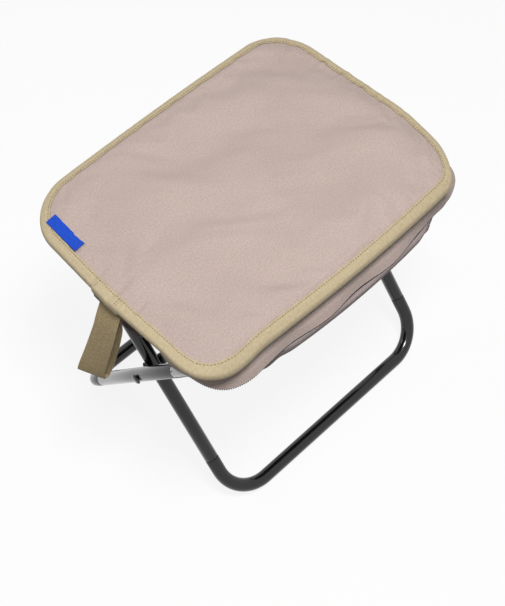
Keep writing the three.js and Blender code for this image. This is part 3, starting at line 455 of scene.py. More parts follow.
for tag, side in (("a", 1), ("b", -1)):
    body = "frame_" + tag
    half = tube["halfWidth"][tag]
    up = np.array([0, side / slope, riseRatio / slope])
    foot = np.array([0, -side * tube["footReach"], tube["radius"]])
    rail = np.array([0, side * tube["railReach"], railHeight])
    bowPiece("foot_tube_" + tag, half, foot, up, tube["footLeg"], body, "foot_bow_" + tag)
    bowPiece("rail_tube_" + tag, half, rail, -up, tube["topLeg"], body, "top_bow_" + tag)
    low = -(tube["footReach"] * slope - tube["footLeg"] - tube["gap"])
    high = tube["railReach"] * slope - tube["topLeg"] - tube["gap"]
    edge = tube["shoulder"]
    stops = np.array([low, low + edge * 0.3, low + edge, -14, 14, high - edge, high - edge * 0.3, high])
    sizes = tube["radius"] - np.array([edge, edge * 0.3, 0, 0, 0, 0, edge * 0.3, edge])
    ring = np.array([1.0, 0, 0]) * np.cos(roundTube) + np.array([0, -up[2], up[1]]) * np.sin(roundTube)
    for word, sign in (("left", -1), ("right", 1)):
        line = (np.array([sign * half, 0, tube["pivotHeight"]]) + stops[:, None] * up)[:, None]
        outer, inner = line + ring * sizes[:, None, None], line + ring * (tube["radius"] - tube["wall"])
        obj = gridPiece(f"leg_tube_{tag}_{word}", outer, inner, paint, "black_tube", wrapColumns=True,
                        sharp=40)
        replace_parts(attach(obj, body), f"side_tube_{tag}_{word}")

# pivots

pivot = {"rivetRadius": 3.0, "headRadius": 6.0, "headHeight": 3.0, "nutRadius": 7.0, "nutHeight": 6.5,
         "nutBore": 4.0, "washerRadius": 9.0, "washerWall": 1.0, "gap": 0.3, "sides": 48}
headStart = tube["halfWidth"]["b"] + tube["radius"] + pivot["gap"]
nutStart = tube["halfWidth"]["a"] - tube["radius"] - pivot["gap"]
washerStart = tube["halfWidth"]["a"] + tube["radius"] + pivot["gap"]


def turnedPiece(name, profile, sign, material, slot, node, ringed=False):
    # a profile of (radius, x) turned about the pivot's axis
    radius, x = np.array(profile).T[..., None]
    angle = np.linspace(0, 2 * np.pi, pivot["sides"], endpoint=False)
    points = joined(sign * x, radius * np.cos(angle), tube["pivotHeight"] + radius * np.sin(angle))
    obj = gridPiece(name, points, None, material, slot, wrapRows=ringed, wrapColumns=True, sharp=35)
    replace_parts(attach(obj, "frame_b"), node)


domeTurn = np.linspace(0, np.pi / 2, 10)
dome = list(zip(np.cos(domeTurn) ** 0.8, 0.28 + 0.72 * np.sin(domeTurn)))
for word, sign in (("left", -1), ("right", 1)):
    head = [(r * pivot["headRadius"], headStart + h * pivot["headHeight"]) for r, h in dome]
    head[-1] = (0, head[-1][1])
    tip = nutStart - pivot["nutBore"] + pivot["gap"]
    shank = [(0, tip), (pivot["rivetRadius"], tip), (pivot["rivetRadius"], headStart),
             (pivot["headRadius"] - 0.3, headStart), (pivot["headRadius"], headStart + 0.3)]
    turnedPiece("rivet_head_" + word, shank + head, sign, paint, "rivet_steel", "rivet_" + word)
    rise = [0.45 + 0.55 * (h - 0.28) / 0.72 for r, h in dome]
    crown = [(r * pivot["nutRadius"], nutStart - h * pivot["nutHeight"]) for (r, _), h in zip(dome, rise)]
    crown[-1] = (0, crown[-1][1])
    bore = pivot["rivetRadius"] + pivot["gap"]
    cup = [(0, nutStart - pivot["nutBore"]), (bore, nutStart - pivot["nutBore"]), (bore, nutStart),
           (pivot["nutRadius"] - 0.4, nutStart), (pivot["nutRadius"], nutStart - 0.4)]
    turnedPiece(f"cap_nut_{word}_turned", cup + crown, sign, capPlastic, "black_plastic", "cap_nut_" + word)
    outerEdge, start, wall = pivot["washerRadius"], washerStart, pivot["washerWall"]
    turnedPiece("washer_" + word, [(bore, start), (outerEdge - 0.2, start), (outerEdge, start + 0.2),
                (outerEdge, start + wall - 0.2), (outerEdge - 0.2, start + wall), (bore, start + wall)],
                sign, capPlastic, "black_plastic", "pivot_washer_" + word, ringed=True)
print("frames and pivots made")

# lid

steps = (120, 90, 40)  # points along a long edge, a short edge and a corner


def planOutline(halfX, front, back, radius, bulge=0.0, counts=steps):
    # rounded rectangle read anticlockwise from the middle of the back edge: four edges that swell by a
    # parabola and four quarter circles; each row is x, y and the outward normal
    long, short, corner = counts
    inX = halfX - radius

    def edge(x0, y0, x1, y1, nx, ny, first, last, count):
        t = np.arange(first, last) / count
        return joined(mix(x0, x1, t), mix(y0, y1, t) + ny * bulge * 4 * t * (1 - t), nx, ny)

    def arc(cx, cy, start):
        a = start + np.pi / 2 * np.arange(corner + 1) / corner
        return joined(cx + radius * np.cos(a), cy + radius * np.sin(a), np.cos(a), np.sin(a))

    high, low = back - radius, radius - front
    return np.concatenate([
        edge(inX, back, -inX, back, 0, 1, long // 2, long, long), arc(-inX, high, np.pi / 2),
        edge(-halfX, high, -halfX, low, -1, 0, 1, short, short), arc(-inX, low, np.pi),
        edge(-inX, -front, inX, -front, 0, -1, 1, long, long), arc(inX, low, 1.5 * np.pi),
        edge(halfX, low, halfX, high, 1, 0, 1, short, short), arc(inX, high, 0),
        edge(inX, back, -inX, back, 0, 1, 1, long // 2, long)])


lid = {"halfX": 188.8, "front": 142.0, "back": 150.0, "radius": 58.0, "bulge": 4.0, "seat": 321.32,
       "crown": 3.0, "edgeDrop": 5.0, "backDrop": 1.5, "backFlat": 3.0, "sideDrop": 5.0, "lining": 0.8,
       "pad": 6.0, "padEdge": 2.2, "creaseRoom": 1.5, "cover": 1.0, "gap": 0.3, "padInset": 29.3,
       "bindInset": 11.3, "edgeInset": 1.5,
       # the side in x and in y and the height of each corner's lift
       "lifts": ((-1, -1, -6.0), (1, -1, -4.0), (1, 1, 8.0), (-1, 1, -6.0)),
       "leftRoom": 12.0, "leftPush": 6.5, "rightDraw": 16.0, "backRoom": 5.0,
       "wave": 2.2, "waveRest": 0.3, "creaseLength": 105.0, "warp": (13, 9),
       # slant, share of the crease length, height and phase of each wave
       "waves": ((0.55, 1, 0.95, 0.4), (-1.1, 1.6, 0.45, 2.1), (0.1, 0.62, 0.5, 4.0), (0.9, 0.36, 0.12, 1.0)),
       "pucker": 1.7, "puckerReach": 27.0, "puckerLeast": 0.35,
       # strength, x, width, y and width: at the right edge, beside the strap, and the left corner's dent
       "spots": ((1.1, 172, 26, 40, 80), (1.2, -186, 22, -14, 30)), "dent": (1.6, -168, 13, -112, 8),
       "simCap": 1.7, "simGrid": (46, 36), "simHeld": 16, "simFrames": 20}
lidMiddleY = (lid["back"] - lid["front"]) / 2
lidHalfY = (lid["back"] + lid["front"]) / 2


def cornerShareOf(x, y):
    # 1 at the front right corner, 0 away from it
    return ease(x / lid["halfX"], 0.62, 1) * ease(-y / lid["front"], 0.15, 0.95)


def lidShape(x, y, drawn=lid["rightDraw"], push=lid["leftPush"]):
    # the left edge stands out towards the front, whose left corner is pushed out and right corner drawn in,
    # and the back edge slants out
    u, backShare = x / lid["halfX"], np.maximum(0, y / lid["back"])
    out = lid["leftRoom"] * np.maximum(0, -u) * (1 - 0.9 * backShare)
    slant = lid["backRoom"] * backShare * ease(u, -0.7, 0.9)
    slant = slant - lid["backFlat"] * backShare ** 2 * np.maximum(0, 1 - u ** 2)
    corner = push * ease(-u, 0.6, 0.95) * ease(-y / lid["front"], 0.55, 0.9)
    return joined(x - out - drawn * cornerShareOf(x, y) - corner, y + slant - 0.85 * corner)


rim = planOutline(lid["halfX"], lid["front"], lid["back"], lid["radius"], lid["bulge"])
flatXY, rimNormal = rim[:, :2], rim[:, 2:]
rimXY = lidShape(*flatXY.T)
rimLength = lengthAlong(closed(rimXY))


def rimAt(inset):
    # the outline moved in by one inset, or by a row of insets at each station, then given the lid's shape
    if np.ndim(inset) == 2:
        flat = flatXY[:, None] - inset[..., None] * rimNormal[:, None]
    else:
        flat = flatXY - inset * rimNormal
    return lidShape(flat[..., 0], flat[..., 1])


def lidUnderside(x, y):
    # a flat seat with a crown between the rails, less a drop near each edge, plus a lift at each corner
    u, v = x / lid["halfX"], (y - lidMiddleY) / lidHalfY
    z = lid["seat"] + lid["crown"] * np.maximum(0, 1 - u * u) * np.maximum(0, 1 - v * v)
    z = z - np.where(v > 0, lid["backDrop"], lid["edgeDrop"]) * ease(np.abs(v), 0.91, 1)
    z = z - lid["sideDrop"] * ease(np.abs(u), 0.68, 1)
    for sx, sy, height in lid["lifts"]:
        z = z + height * np.maximum(0, sx * u) ** 6 * np.maximum(0, sy * v) ** 6
    return z


def creases(x, y):
    # four slanting sine waves that fade out towards the tape
    fade = 1 - ease(np.abs(x) / lid["halfX"], 0.75, 0.98)
    fade = fade * (1 - ease(np.abs(y - lidMiddleY) / lidHalfY, 0.7, 0.98))
    wx, wy = x + lid["warp"][0] * ripple(y, (137, 89), 0.7), y + lid["warp"][1] * ripple(x, (163, 97), 2.2)
    wave = 0
    for slant, stretch, height, phase in lid["waves"]:
        wave = wave + height * np.sin(2 * np.pi * (wx * slant + wy) / (lid["creaseLength"] * stretch) + phase)
    return lid["wave"] * fade * (wave - lid["waveRest"])


def hump(x, y, height, atX, wideX, atY, wideY):
    # a bell: height times exp(-u^2 - v^2), u and v measured in its widths
    return height * np.exp(-(((x - atX) / wideX) ** 2) - (((y - atY) / wideY) ** 2))


def puckers(s, inset, x, y):
    # short drag lines square to the tape, strongest at the right edge and beside the strap, dying out inwards
    depth = np.maximum(inset - lid["edgeInset"], 0)
    fade = np.exp(-((depth / lid["puckerReach"]) ** 2)) * (0.35 + 0.65 * ease(depth, 2, 12))
    strength = lid["puckerLeast"] + sum(hump(x, y, *spot) for spot in lid["spots"])
    lines = lid["pucker"] * strength * fade * ripple(s, (23.3, 14.9, 31.1, 9.7), 0.6)
    return lines - hump(x, y, *lid["dent"])


def coverTopHeight(x, y, inset, s=None):
    # the layers' sum over the underside, the pad thinning towards the tape; with s the drag lines are added
    share = np.interp(inset, [lid["edgeInset"], lid["bindInset"], lid["padInset"]], [0, 0.5, 1])
    pad = mix(lid["padEdge"], lid["pad"], ease(share, 0, 1) * 0.4 + share * 0.6)
    z = lidUnderside(x, y) + lid["lining"] + 2 * lid["gap"] + pad + lid["creaseRoom"] + lid["cover"]
    z = z + creases(x, y)
    return z if s is None else z + puckers(s, inset, x, y)


def lidPlan(countX, countY, edgeShare=0.85):
    # a square grid laid into the outline: each ring of the square is the outline shrunk about the middle, and
    # the last rings follow it at an even inset
    long, short, corner = steps
    a, b = gridOf(np.linspace(-1, 1, 2 * countX + 1), np.linspace(-1, 1, 2 * countY + 1))
    m = np.maximum(np.maximum(np.abs(a), np.abs(b)), 1e-9)
    nearly = m * 0.999999
    halfBack, sideSpan, longSpan = (long + corner) / 2, short + corner, long + corner
    back, left = -a / m * halfBack, halfBack + (1 - b / m) / 2 * sideSpan
    front = halfBack + sideSpan + (1 + a / m) / 2 * longSpan
    right = halfBack + sideSpan + longSpan + (1 + b / m) / 2 * sideSpan
    index = np.select([b >= nearly, a <= -nearly, b <= -nearly], [back, left, front], right) % len(rim)
    stations = np.arange(len(rim) + 1)
    x, y, nx, ny = (np.interp(index, stations, values) for values in closed(rim).T)
    s = np.interp(index, stations, rimLength)
    edgeInset = mix(lid["padInset"], lid["edgeInset"], (m - edgeShare) / (1 - edgeShare))
    inset = np.where(m > edgeShare, edgeInset, lid["padInset"])
    share = np.minimum(m / edgeShare, 1)
    shaped = lidShape(x - inset * nx, y - inset * ny)
    px, py = shaped[..., 0] * share, lidMiddleY + (shaped[..., 1] - lidMiddleY) * share
    return px, py, np.where(m > edgeShare, inset, lid["padInset"] + (1 - share) * 150), s


def simulatedCrumple():
    # a sheet slightly too large for its outline, held at its edge, is let go with Blender's cloth; its
    # heights are capped by c tanh(z / c)
    x, y, inset = lidPlan(*lid["simGrid"])[:3]
    seed = 0.25 * (ripple(x * 0.8 + y, (47, 71, 29), 0.3) + ripple(x - 1.3 * y, (59, 38), 1.1))
    seed = seed * ease(inset, 8, 40)
    start = joined(x, y, coverTopHeight(x, y, inset) + seed)
    obj = addMesh("crumple_trial", *gridSkin(start), lidCloth)
    held = obj.vertex_groups.new(name="held")
    held.add([int(k) for k in np.nonzero(inset.reshape(-1) < lid["simHeld"])[0]], 1.0, "ADD")
    cloth = obj.modifiers.new("cloth", "CLOTH")
    settings = {"quality": 5, "mass": 0.3, "tension_stiffness": 25, "compression_stiffness": 25,
                "shear_stiffness": 10, "bending_stiffness": 1.5, "shrink_min": -0.012,
                "use_pressure": True, "uniform_pressure_force": 0.15, "vertex_group_mass": "held"}
    for key, value in settings.items():
        setattr(cloth.settings, key, value)
    cloth.settings.effector_weights.gravity = 0
    cloth.point_cache.frame_start, cloth.point_cache.frame_end = 1, lid["simFrames"]
    scene = bpy.context.scene
    for step in range(1, lid["simFrames"] + 1):
        scene.frame_set(step)
    result = obj.evaluated_get(bpy.context.evaluated_depsgraph_get()).to_mesh()
    moved = np.empty(len(result.vertices) * 3, np.float32)
    result.vertices.foreach_get("co", moved)
    scene.frame_set(1)
    lift = (moved.reshape(start.shape) - toFrame(start))[..., 2] * 1000 + seed
    print("crumple", round(float(lift.min()), 2), round(float(lift.max()), 2))
    obj.evaluated_get(bpy.context.evaluated_depsgraph_get()).to_mesh_clear()
    bpy.data.objects.remove(obj)
    lift = lift - lift[inset > 40].mean() * ease(inset, 10, 60)
    return lid["simCap"] * np.tanh(lift / lid["simCap"])


crumple = simulatedCrumple()


def crumpleAt(countX, countY):
    # the capped heights read off between the trial sheet's points
    if crumple is None:
        return 0.0
    rows, columns = (np.linspace(0, size - 1, 2 * n + 1) for size, n in zip(crumple.shape, (countX, countY)))
    wide = np.stack([np.interp(columns, np.arange(crumple.shape[1]), line) for line in crumple])
    return np.stack([np.interp(rows, np.arange(crumple.shape[0]), line) for line in wide.T], -1)


def bendsWithLid(obj, *nodes):
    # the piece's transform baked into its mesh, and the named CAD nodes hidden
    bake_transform(obj)
    if nodes:
        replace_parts(obj, *nodes)
    return obj


def bendsWithBag(obj, *nodes):
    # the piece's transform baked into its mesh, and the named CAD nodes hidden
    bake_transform(obj)
    if nodes:
        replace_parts(obj, *nodes)
    return obj


def lidLayer(name, top, bottom, grid, material, slot, node):
    # a layer whose two faces each lie at a distance over the underside or over the cover's top
    x, y, inset, s = lidPlan(*grid)
    soft = crumpleAt(*grid)
    heights = {"under": lidUnderside(x, y), "cover": coverTopHeight(x, y, inset, s)}
    outer = joined(x, y, heights[top[0]] + top[1] + soft)
    inner = joined(x, y, heights[bottom[0]] + bottom[1] + (soft if bottom[0] == "cover" else 0))
    return bendsWithLid(gridPiece(name, outer, inner, material, slot), node)


cover, lining, gap = lid["cover"], lid["lining"], lid["gap"]
lidLayer("lid_top_cloth", ("cover", 0), ("cover", -cover), (110, 86), lidCloth, "lid_cloth", "lid_cover")
padPiece = lidLayer("lid_foam", ("cover", -cover - gap), ("under", lining + gap), (46, 36), foam, "foam",
                    "lid_pad")
lidLayer("lid_foil", ("under", lining), ("under", 0), (50, 40), foil, "foil_lining", "lid_lining")
print("lid layers made")

# tape round the lid

binding = {"width": 11.0, "thick": 0.9, "stitchInset": 9.2, "overlap": (-15.0, 22.0), "overlapLift": 1.3,
           "flats": (8.5, 6.0, 4.0), "round": 2.4, "arcPoints": 15}

# the tape's two ends lie over each other on a short stretch of the left edge
low, high = binding["overlap"]
overlap = (rimXY[:, 0] < -150) * ease(rimXY[:, 1], low - 1.5, low) * (1 - ease(rimXY[:, 1], high, high + 1.5))
overlapRise = binding["overlapLift"] * overlap[:, None]


def tapeHeights(share, thinner=0.0):
    # heights of the tape's underside and top, a row for each station of the rim and a column for each share
    # of the tape's width
    thick = lid["gap"] + binding["thick"] - thinner
    ends = []
    for inset in (lid["edgeInset"], lid["bindInset"]):
        x, y = rimAt(inset).T
        heights = lidUnderside(x, y) - thick, coverTopHeight(x, y, inset, rimLength[:-1]) + thick
        ends.append(np.array(heights)[..., None])
    return mix(*ends, share)


def bindingGrid(thin):
    # across the tape: flat under the lid, round the rim as a flattened half circle, flat over the top
    s = rimLength[:-1]
    arcTurn = np.linspace(-np.pi / 2, np.pi / 2, binding["arcPoints"])
    flats, radius = np.array([binding["width"], *binding["flats"]]), binding["round"]
    insets = np.r_[flats, radius - (radius - thin) * np.cos(arcTurn) ** 0.8, flats[::-1]]
    height = np.r_[0 * flats, (1 + np.sin(arcTurn)) / 2, 0 * flats + 1]
    low, top = tapeHeights(np.clip(insets / binding["width"], 0, 1), thin)
    lift = overlapRise * (thin == 0)
    wobble = 0.6 * ripple(s, (31, 47, 19), 0.2)
    cornerShare = np.abs(rimNormal).max(1) < 0.995
    gather = (0.15 + 0.45 * cornerShare) * ripple(s, (6.1, 8.7, 4.9), 1.0)
    curl = 0.5 * np.exp(-((insets - 5.5) / 2.4) ** 2)
    z = mix(low - lift, top + lift, height)
    z = z + (height * 2 - 1) * (curl + gather[:, None] * np.exp(-((insets - 8) / 5) ** 2))
    inset = insets - lift * (insets < 3) + wobble[:, None] * (insets > 9)
    return atHeight(rimAt(inset), z), mapOf(rimLength, lengthAlong(joined(insets, height * 8)))


bindingOuter, bindingUv = bindingGrid(0)
bindingInner = bindingGrid(binding["thick"])[0]
tapePiece = gridPiece("lid_tape", bindingOuter, bindingInner, bindingTape, "binding_tape", bindingUv,
                      wrapRows=True)
bendsWithLid(tapePiece, "lid_binding")

stitchLow, stitchTop = tapeHeights([binding["stitchInset"] / binding["width"]])
for word, up, z in (("top", 1, stitchTop), ("under", -1, stitchLow)):
    line = closed(np.c_[rimAt(binding["stitchInset"]), z + up * (0.12 + overlapRise)])
    bendsWithLid(stitchRow("tape_stitches_" + word, line, [0, 0, up], khakiThreadAndShade))

# three short rows hold the tape's overlap
for k, y in enumerate((-13.0, -10.5, 19.5)):
    insets = np.linspace(1.2, 10.0, 12)
    near = int(np.argmin(np.abs(flatXY[:, 1] - y) + 1000 * (flatXY[:, 0] > -150)))
    z = tapeHeights(insets / binding["width"])[1][near] + binding["overlapLift"] + 0.25
    line = np.c_[lidShape(flatXY[near, 0] + insets, y), z]
    bendsWithLid(stitchRow(f"overlap_stitches_{k}", line, [0, 0, 1], khakiThreadAndShade, 2.9, 2.1))
print("lid tape made")

# skirt and closure coil

skirt = {"inset": 7.0, "frontDrop": 27.0, "sideDrop": 20.0, "flare": 1.0, "tuck": 11.0, "leftTuck": 6.0,
         "leftDrop": 12.0, "recess": 2.4, "cornerTuck": 6.0, "draw": 12.0, "thick": 1.4, "foldHeight": 2.0,
         "foldLength": 84.0, "clearance": 0.9, "hem": 8.0, "proud": 0.45, "rows": 22,
         "coil": 2.2, "coilPitch": 2.2, "coilTurn": 0.72, "coilWire": 0.42}
hemShare = skirt["hem"] / skirt["frontDrop"]
firstStation = steps[0] // 2 + round(0.6 * steps[2])
skirtAt = np.arange(firstStation, len(rim) - firstStation + 1)
skirtXY, skirtNormal = lidShape(*flatXY[skirtAt].T, skirt["draw"], 0.0), rimNormal[skirtAt]
forward = 1 - ease(skirtXY[:, 1], -0.625 * tube["railReach"], -0.28 * tube["railReach"])
underTape = tapeHeights(np.array([skirt["inset"], skirt["inset"] + skirt["thick"]]) / binding["width"])[0]
skirtTop = underTape[skirtAt].min(1) - skirt["clearance"]
leftEnd = ease(-skirtXY[:, 0] / lid["halfX"], 0.7, 0.9) * ease(skirtXY[:, 1], -138, -100)
skirtDrop = mix(mix(skirt["sideDrop"], skirt["frontDrop"], forward), skirt["leftDrop"], leftEnd)
draw = skirt["draw"] * cornerShareOf(*flatXY[skirtAt].T)
undrawn = skirtXY[:, 0] + draw
across = undrawn / lid["halfX"]
cornerTuck = forward * ease(across, 0.36, 0.66) * (1 - ease(across, 0.8, 0.95))
foldWave = skirt["foldHeight"] * np.sin(2 * np.pi * (undrawn * 0.9 + skirtXY[:, 1]) / skirt["foldLength"])
hemInset = mix(skirt["tuck"], -skirt["flare"], forward) + foldWave * (forward - cornerTuck)
hemInset = hemInset + skirt["cornerTuck"] * cornerTuck + skirt["leftTuck"] * leftEnd
hemInset = hemInset - 0.85 * draw * skirtNormal[:, 0]
recess = skirt["recess"] * forward * (1 - ease(np.abs(across), 0.45, 0.62))
skirtRun = rimLength[skirtAt]


def skirtGrid(extra, downs=np.linspace(0, 1, skirt["rows"])):
    # down the skirt: the inset moves from under the tape to the hem on a curve; the folded hem stands proud
    out = np.interp(downs, [0, 0.3, 0.68, 1], [0, 0.08, 0.6, 1])
    inset = mix((skirt["inset"] + recess - 0.25 * draw)[:, None], hemInset[:, None], out) + extra
    inset = inset + 0.35 * ripple(skirtRun, (23, 37, 15), 0.9)[:, None] * np.sin(np.pi * downs)
    inset = inset - (extra == 0) * skirt["proud"] * ease(downs, 0.95 - hemShare, 1 - hemShare)
    z = skirtTop[:, None] - downs * skirtDrop[:, None]
    return atHeight(skirtXY[:, None] - inset[..., None] * skirtNormal[:, None], z)


skirtUv = mapOf(skirtRun, np.linspace(0, skirt["frontDrop"], skirt["rows"]))
skirtPiece = gridPiece("lid_skirt_cloth", skirtGrid(0), skirtGrid(skirt["thick"]), lidCloth, "lid_cloth",
                       skirtUv)
bendsWithLid(skirtPiece, "lid_skirt")
hemStitch = skirtGrid(-0.1, np.array([1 - 0.75 * hemShare]))[:, 0]
normals3 = atHeight(skirtNormal, 0 * skirtRun)
bendsWithLid(stitchRow("hem_stitches", hemStitch, normals3, greyThread))

# the coil is one nylon line wound along the hem: a circle carried along it at an even pitch
hemMiddle = skirtXY - (hemInset + skirt["thick"] / 2)[:, None] * skirtNormal
coilLine = np.c_[hemMiddle, skirtTop - skirtDrop - lid["gap"] - skirt["coil"] / 2]
coilRun = lengthAlong(coilLine)
coilPlaces = np.linspace(0, coilRun[-1], int(coilRun[-1] / skirt["coilPitch"]) * 8)
coilAngle = (2 * np.pi * coilPlaces / skirt["coilPitch"])[:, None]
winding = np.cos(coilAngle) * interpRows(coilPlaces, coilRun, normals3) + np.sin(coilAngle) * [0, 0, 1.0]
winding = interpRows(coilPlaces, coilRun, coilLine) + skirt["coilTurn"] * winding
coilPiece = gridPiece("closure_coil", tubeAlong(winding, skirt["coilWire"], 5), None, coilNylon,
                      "coil_plastic", wrapColumns=True, sharp=80)
bendsWithLid(coilPiece, "lid_zip_coil")
print("skirt and coil made")

# bag

bag = {"floorRise": 4.0, "halfWidth": 133.0, "floorHalfWidth": 119.0, "floorHalfDepth": 66.0, "radius": 30.0,
       "board": 2.5, "boardInset": 0.4, "foam": 5.0, "liner": 1.2, "shell": 1.6, "gap": 0.3, "rimRise": 6.0,
       "trimHeight": 12.0, "trim": 1.0, "pouchRadius": 40.0, "pouchHalfWidth": 144.0, "pouchBulge": 2.0,
       "hemRoom": 8.4, "frontSwell": 6.0, "waistDrop": 69.75, "cornerRimDrop": 40.5, "sleeve": 9.8,
       "leanShare": 1.06, "crumple": 1.1, "puff": 1.3, "flapEnd": 122.0, "endTuck": 5.0}
bagSteps = (72, 52, 26)
facetShare = 1 / math.cos(math.pi / 12)
bagFloor = tube["pivotHeight"] + bag["floorRise"]
boardBottom = bagFloor + bag["shell"] + bag["gap"]
tubBottom = boardBottom + bag["board"] + bag["gap"]
tubTop = railHeight + bag["rimRise"]
trimOut = bag["gap"] + bag["trim"]
halfDepth = tube["railReach"] - bag["leanShare"] * (bag["sleeve"] * facetShare + bag["gap"]) - trimOut


def tubOutline(z, inset):
    # the tub's plan at a height: straight sides that widen from the floor to the rails
    t = (z - tubBottom) / (railHeight - tubBottom)
    width = mix(bag["floorHalfWidth"], bag["halfWidth"], t) - inset
    depth = mix(bag["floorHalfDepth"], halfDepth, t) - inset
    return planOutline(width, depth, depth, bag["radius"] - inset, 0, bagSteps)


def levelRow(inset, z, share=1.0, planZ=None):
    # the tub's plan at a height, or another height's plan put there, shrunk about its middle
    plan = tubOutline(z if planZ is None else planZ, inset)
    return np.c_[plan[:, :2] * share, np.full(len(plan), z)]


def tubRows(inset, floor, top, shares=(1e-4, 0.3, 0.6, 0.85), fillet=6.0, count=16):
    # floor from the middle out, a rounded foot, then the wall
    rows = [levelRow(inset, floor, share) for share in shares]
    for a in np.linspace(0, np.pi / 2, 5):
        rows.append(levelRow(inset + fillet * (1 - np.sin(a)), floor + fillet * (1 - np.cos(a)), planZ=floor))
    return rows + [levelRow(inset, z) for z in np.linspace(floor + fillet, top, count)[1:]]


def rowsUv(grid):
    # running length up and round the rows
    return mapOf(lengthAlong(grid[:, 0]), lengthAlong(closed(grid[-1])))


def tubPiece(name, outerInset, innerInset, material, slot, node):
    # a layer of the tub between two insets, which are its heights over the tub's bottom too
    outer, inner = (np.stack(tubRows(inset, tubBottom + inset, tubTop)) for inset in (outerInset, innerInset))
    bendsWithBag(gridPiece(name, outer, inner, material, slot, rowsUv(outer), wrapColumns=True), node)


linerInset = bag["foam"] + bag["gap"]
tubPiece("bag_foam", 0, bag["foam"], foam, "foam", "bag_insulation")
tubPiece("bag_foil_liner", linerInset, linerInset + bag["liner"], foil, "foil_lining", "bag_liner")

# the stiff board under the tub
boardShares = (1e-4, 0.25, 0.5, 0.75, 0.99, 1)
boardRows = np.stack([levelRow(bag["boardInset"], boardBottom, share, tubBottom) for share in boardShares])
boardTop = boardRows + [0, 0, bag["board"]]
bendsWithBag(gridPiece("floor_board", boardTop, boardRows, boardPlastic, "board_plastic", wrapColumns=True),
             "base_board")

# tape folded over the tub's top edge
trimTurn = np.linspace(0, np.pi, 11)
trimFull = linerInset + bag["liner"] + 2 * trimOut


def trimGrid(thin):
    # up the outside, over the edge as a half ellipse, down the inside
    half, side = trimFull / 2 - thin, np.linspace(-bag["trimHeight"], -2.5, 4)
    insets = np.r_[[-trimOut + thin] * 4, trimFull / 2 - trimOut - half * np.cos(trimTurn),
                   [trimFull - trimOut - thin] * 4]
    rise = np.r_[side, -2.0 + (2.0 + trimOut - thin) * np.sin(trimTurn) ** 0.7, side[::-1]]
    return np.stack([levelRow(inset, tubTop + h) for inset, h in zip(insets, rise)], 1)


trimOuter = trimGrid(0)
trimUv = mapOf(lengthAlong(closed(trimOuter[:, 0])), np.arange(trimOuter.shape[1]) * 2.0)
bendsWithBag(gridPiece("bag_rim_tape", trimOuter, trimGrid(bag["trim"]), bindingTape, "binding_tape", trimUv,
                       wrapRows=True), "bag_rim_binding")

# outer shell: follows the tub to its waist, then swells out under the rails and up behind the hem
pouchRim = lid["seat"] - skirt["frontDrop"] - bag["hemRoom"]
pouchWaist = railHeight - bag["waistDrop"]
pouchBack = tube["railReach"] + bag["sleeve"] * facetShare + bag["gap"] + bag["shell"]
cornerRim = railHeight - bag["cornerRimDrop"]
backRim = railHeight - bag["sleeve"]
wingReach = lid["halfX"] - skirt["tuck"] - skirt["thick"] - 2 * bag["gap"]
waistPlan = tubOutline(pouchWaist, 0)
waistNormal = atHeight(waistPlan[:, 2:], 0 * waistPlan[:, 0])


def pouchRows(shares, inset):
    # from the waist's plan to the rim's by 1 - (1 - share)^2.3, and the ends grow wings behind the hem
    waist = tubOutline(pouchWaist, inset - bag["gap"] - bag["shell"])
    top = planOutline(bag["pouchHalfWidth"] - inset, lid["front"] - inset, pouchBack - inset,
                      bag["pouchRadius"] - inset, bag["pouchBulge"], bagSteps)
    x, y, nx, ny = top.T
    u, v = np.abs(x) / bag["pouchHalfWidth"], np.abs(y) / tube["railReach"]
    swell = bag["frontSwell"] * np.maximum(0, -ny) * np.maximum(0, 1 - u ** 2)
    swell = swell - bag["endTuck"] * (y < 0) * ease(u, 0.62, 0.85)
    hemPull = -skirt["leftTuck"] * (x < 0) * ease(y, -120, -90)
    hemX = lidShape(np.sign(x) * wingReach, y, skirt["draw"])[..., 0]
    hemX = hemX - np.sign(x) * (bag["pouchHalfWidth"] + hemPull)
    sideways = np.abs(nx) ** 4
    straight = np.where(y > 0, mix(backRim, pouchRim, sideways), pouchRim)
    rimHeight = mix(straight, cornerRim, ease(u, 0.72, 0.86) * ease(v, 0.55, 0.78))
    rows = []
    for share in shares:
        reach = 1 - (1 - share) ** 2.3
        wing = sideways * (1 - ease(v, 0.3, 0.55)) * np.clip((share - 0.62) / 0.38, 0, 1)
        px = mix(waist[:, 0], x, reach) + wing * hemX
        rows.append(joined(px, mix(waist[:, 1], y - swell, reach), mix(pouchWaist, rimHeight, share)))
    return rows


def shellGrid(inset):
    # the tub's rows grown outwards, the pouch's rows, and soft waves that only push out
    low = inset - bag["gap"] - bag["shell"]
    rows = tubRows(low, bagFloor + inset, pouchWaist, (1e-4, 0.3, 0.6, 0.88), 4, 14)
    grid = np.stack(rows + pouchRows(np.linspace(0, 1, 26)[1:], inset))
    around, z = lengthAlong(waistPlan[:, :2]), grid[..., 2]
    soft = ease(z, bagFloor + 10, bagFloor + 45) * (1 - ease(z, pouchRim - 26, pouchRim - 8))
    wave = ripple(around + 0.8 * z, (83, 57, 131), 0.4) + 0.5 * ripple(around - 1.4 * z, (41, 67), 2.0)
    return grid + waistNormal * (bag["crumple"] * soft * (wave + bag["puff"]))[..., None]


shellOuter = shellGrid(0)
bendsWithBag(gridPiece("bag_cloth_shell", shellOuter, shellGrid(bag["shell"]), shadedBagCloth, "bag_cloth",
                       rowsUv(shellOuter), wrapColumns=True),
             "bag_floor", "bag_front", "bag_back", "bag_end_left", "bag_end_right")

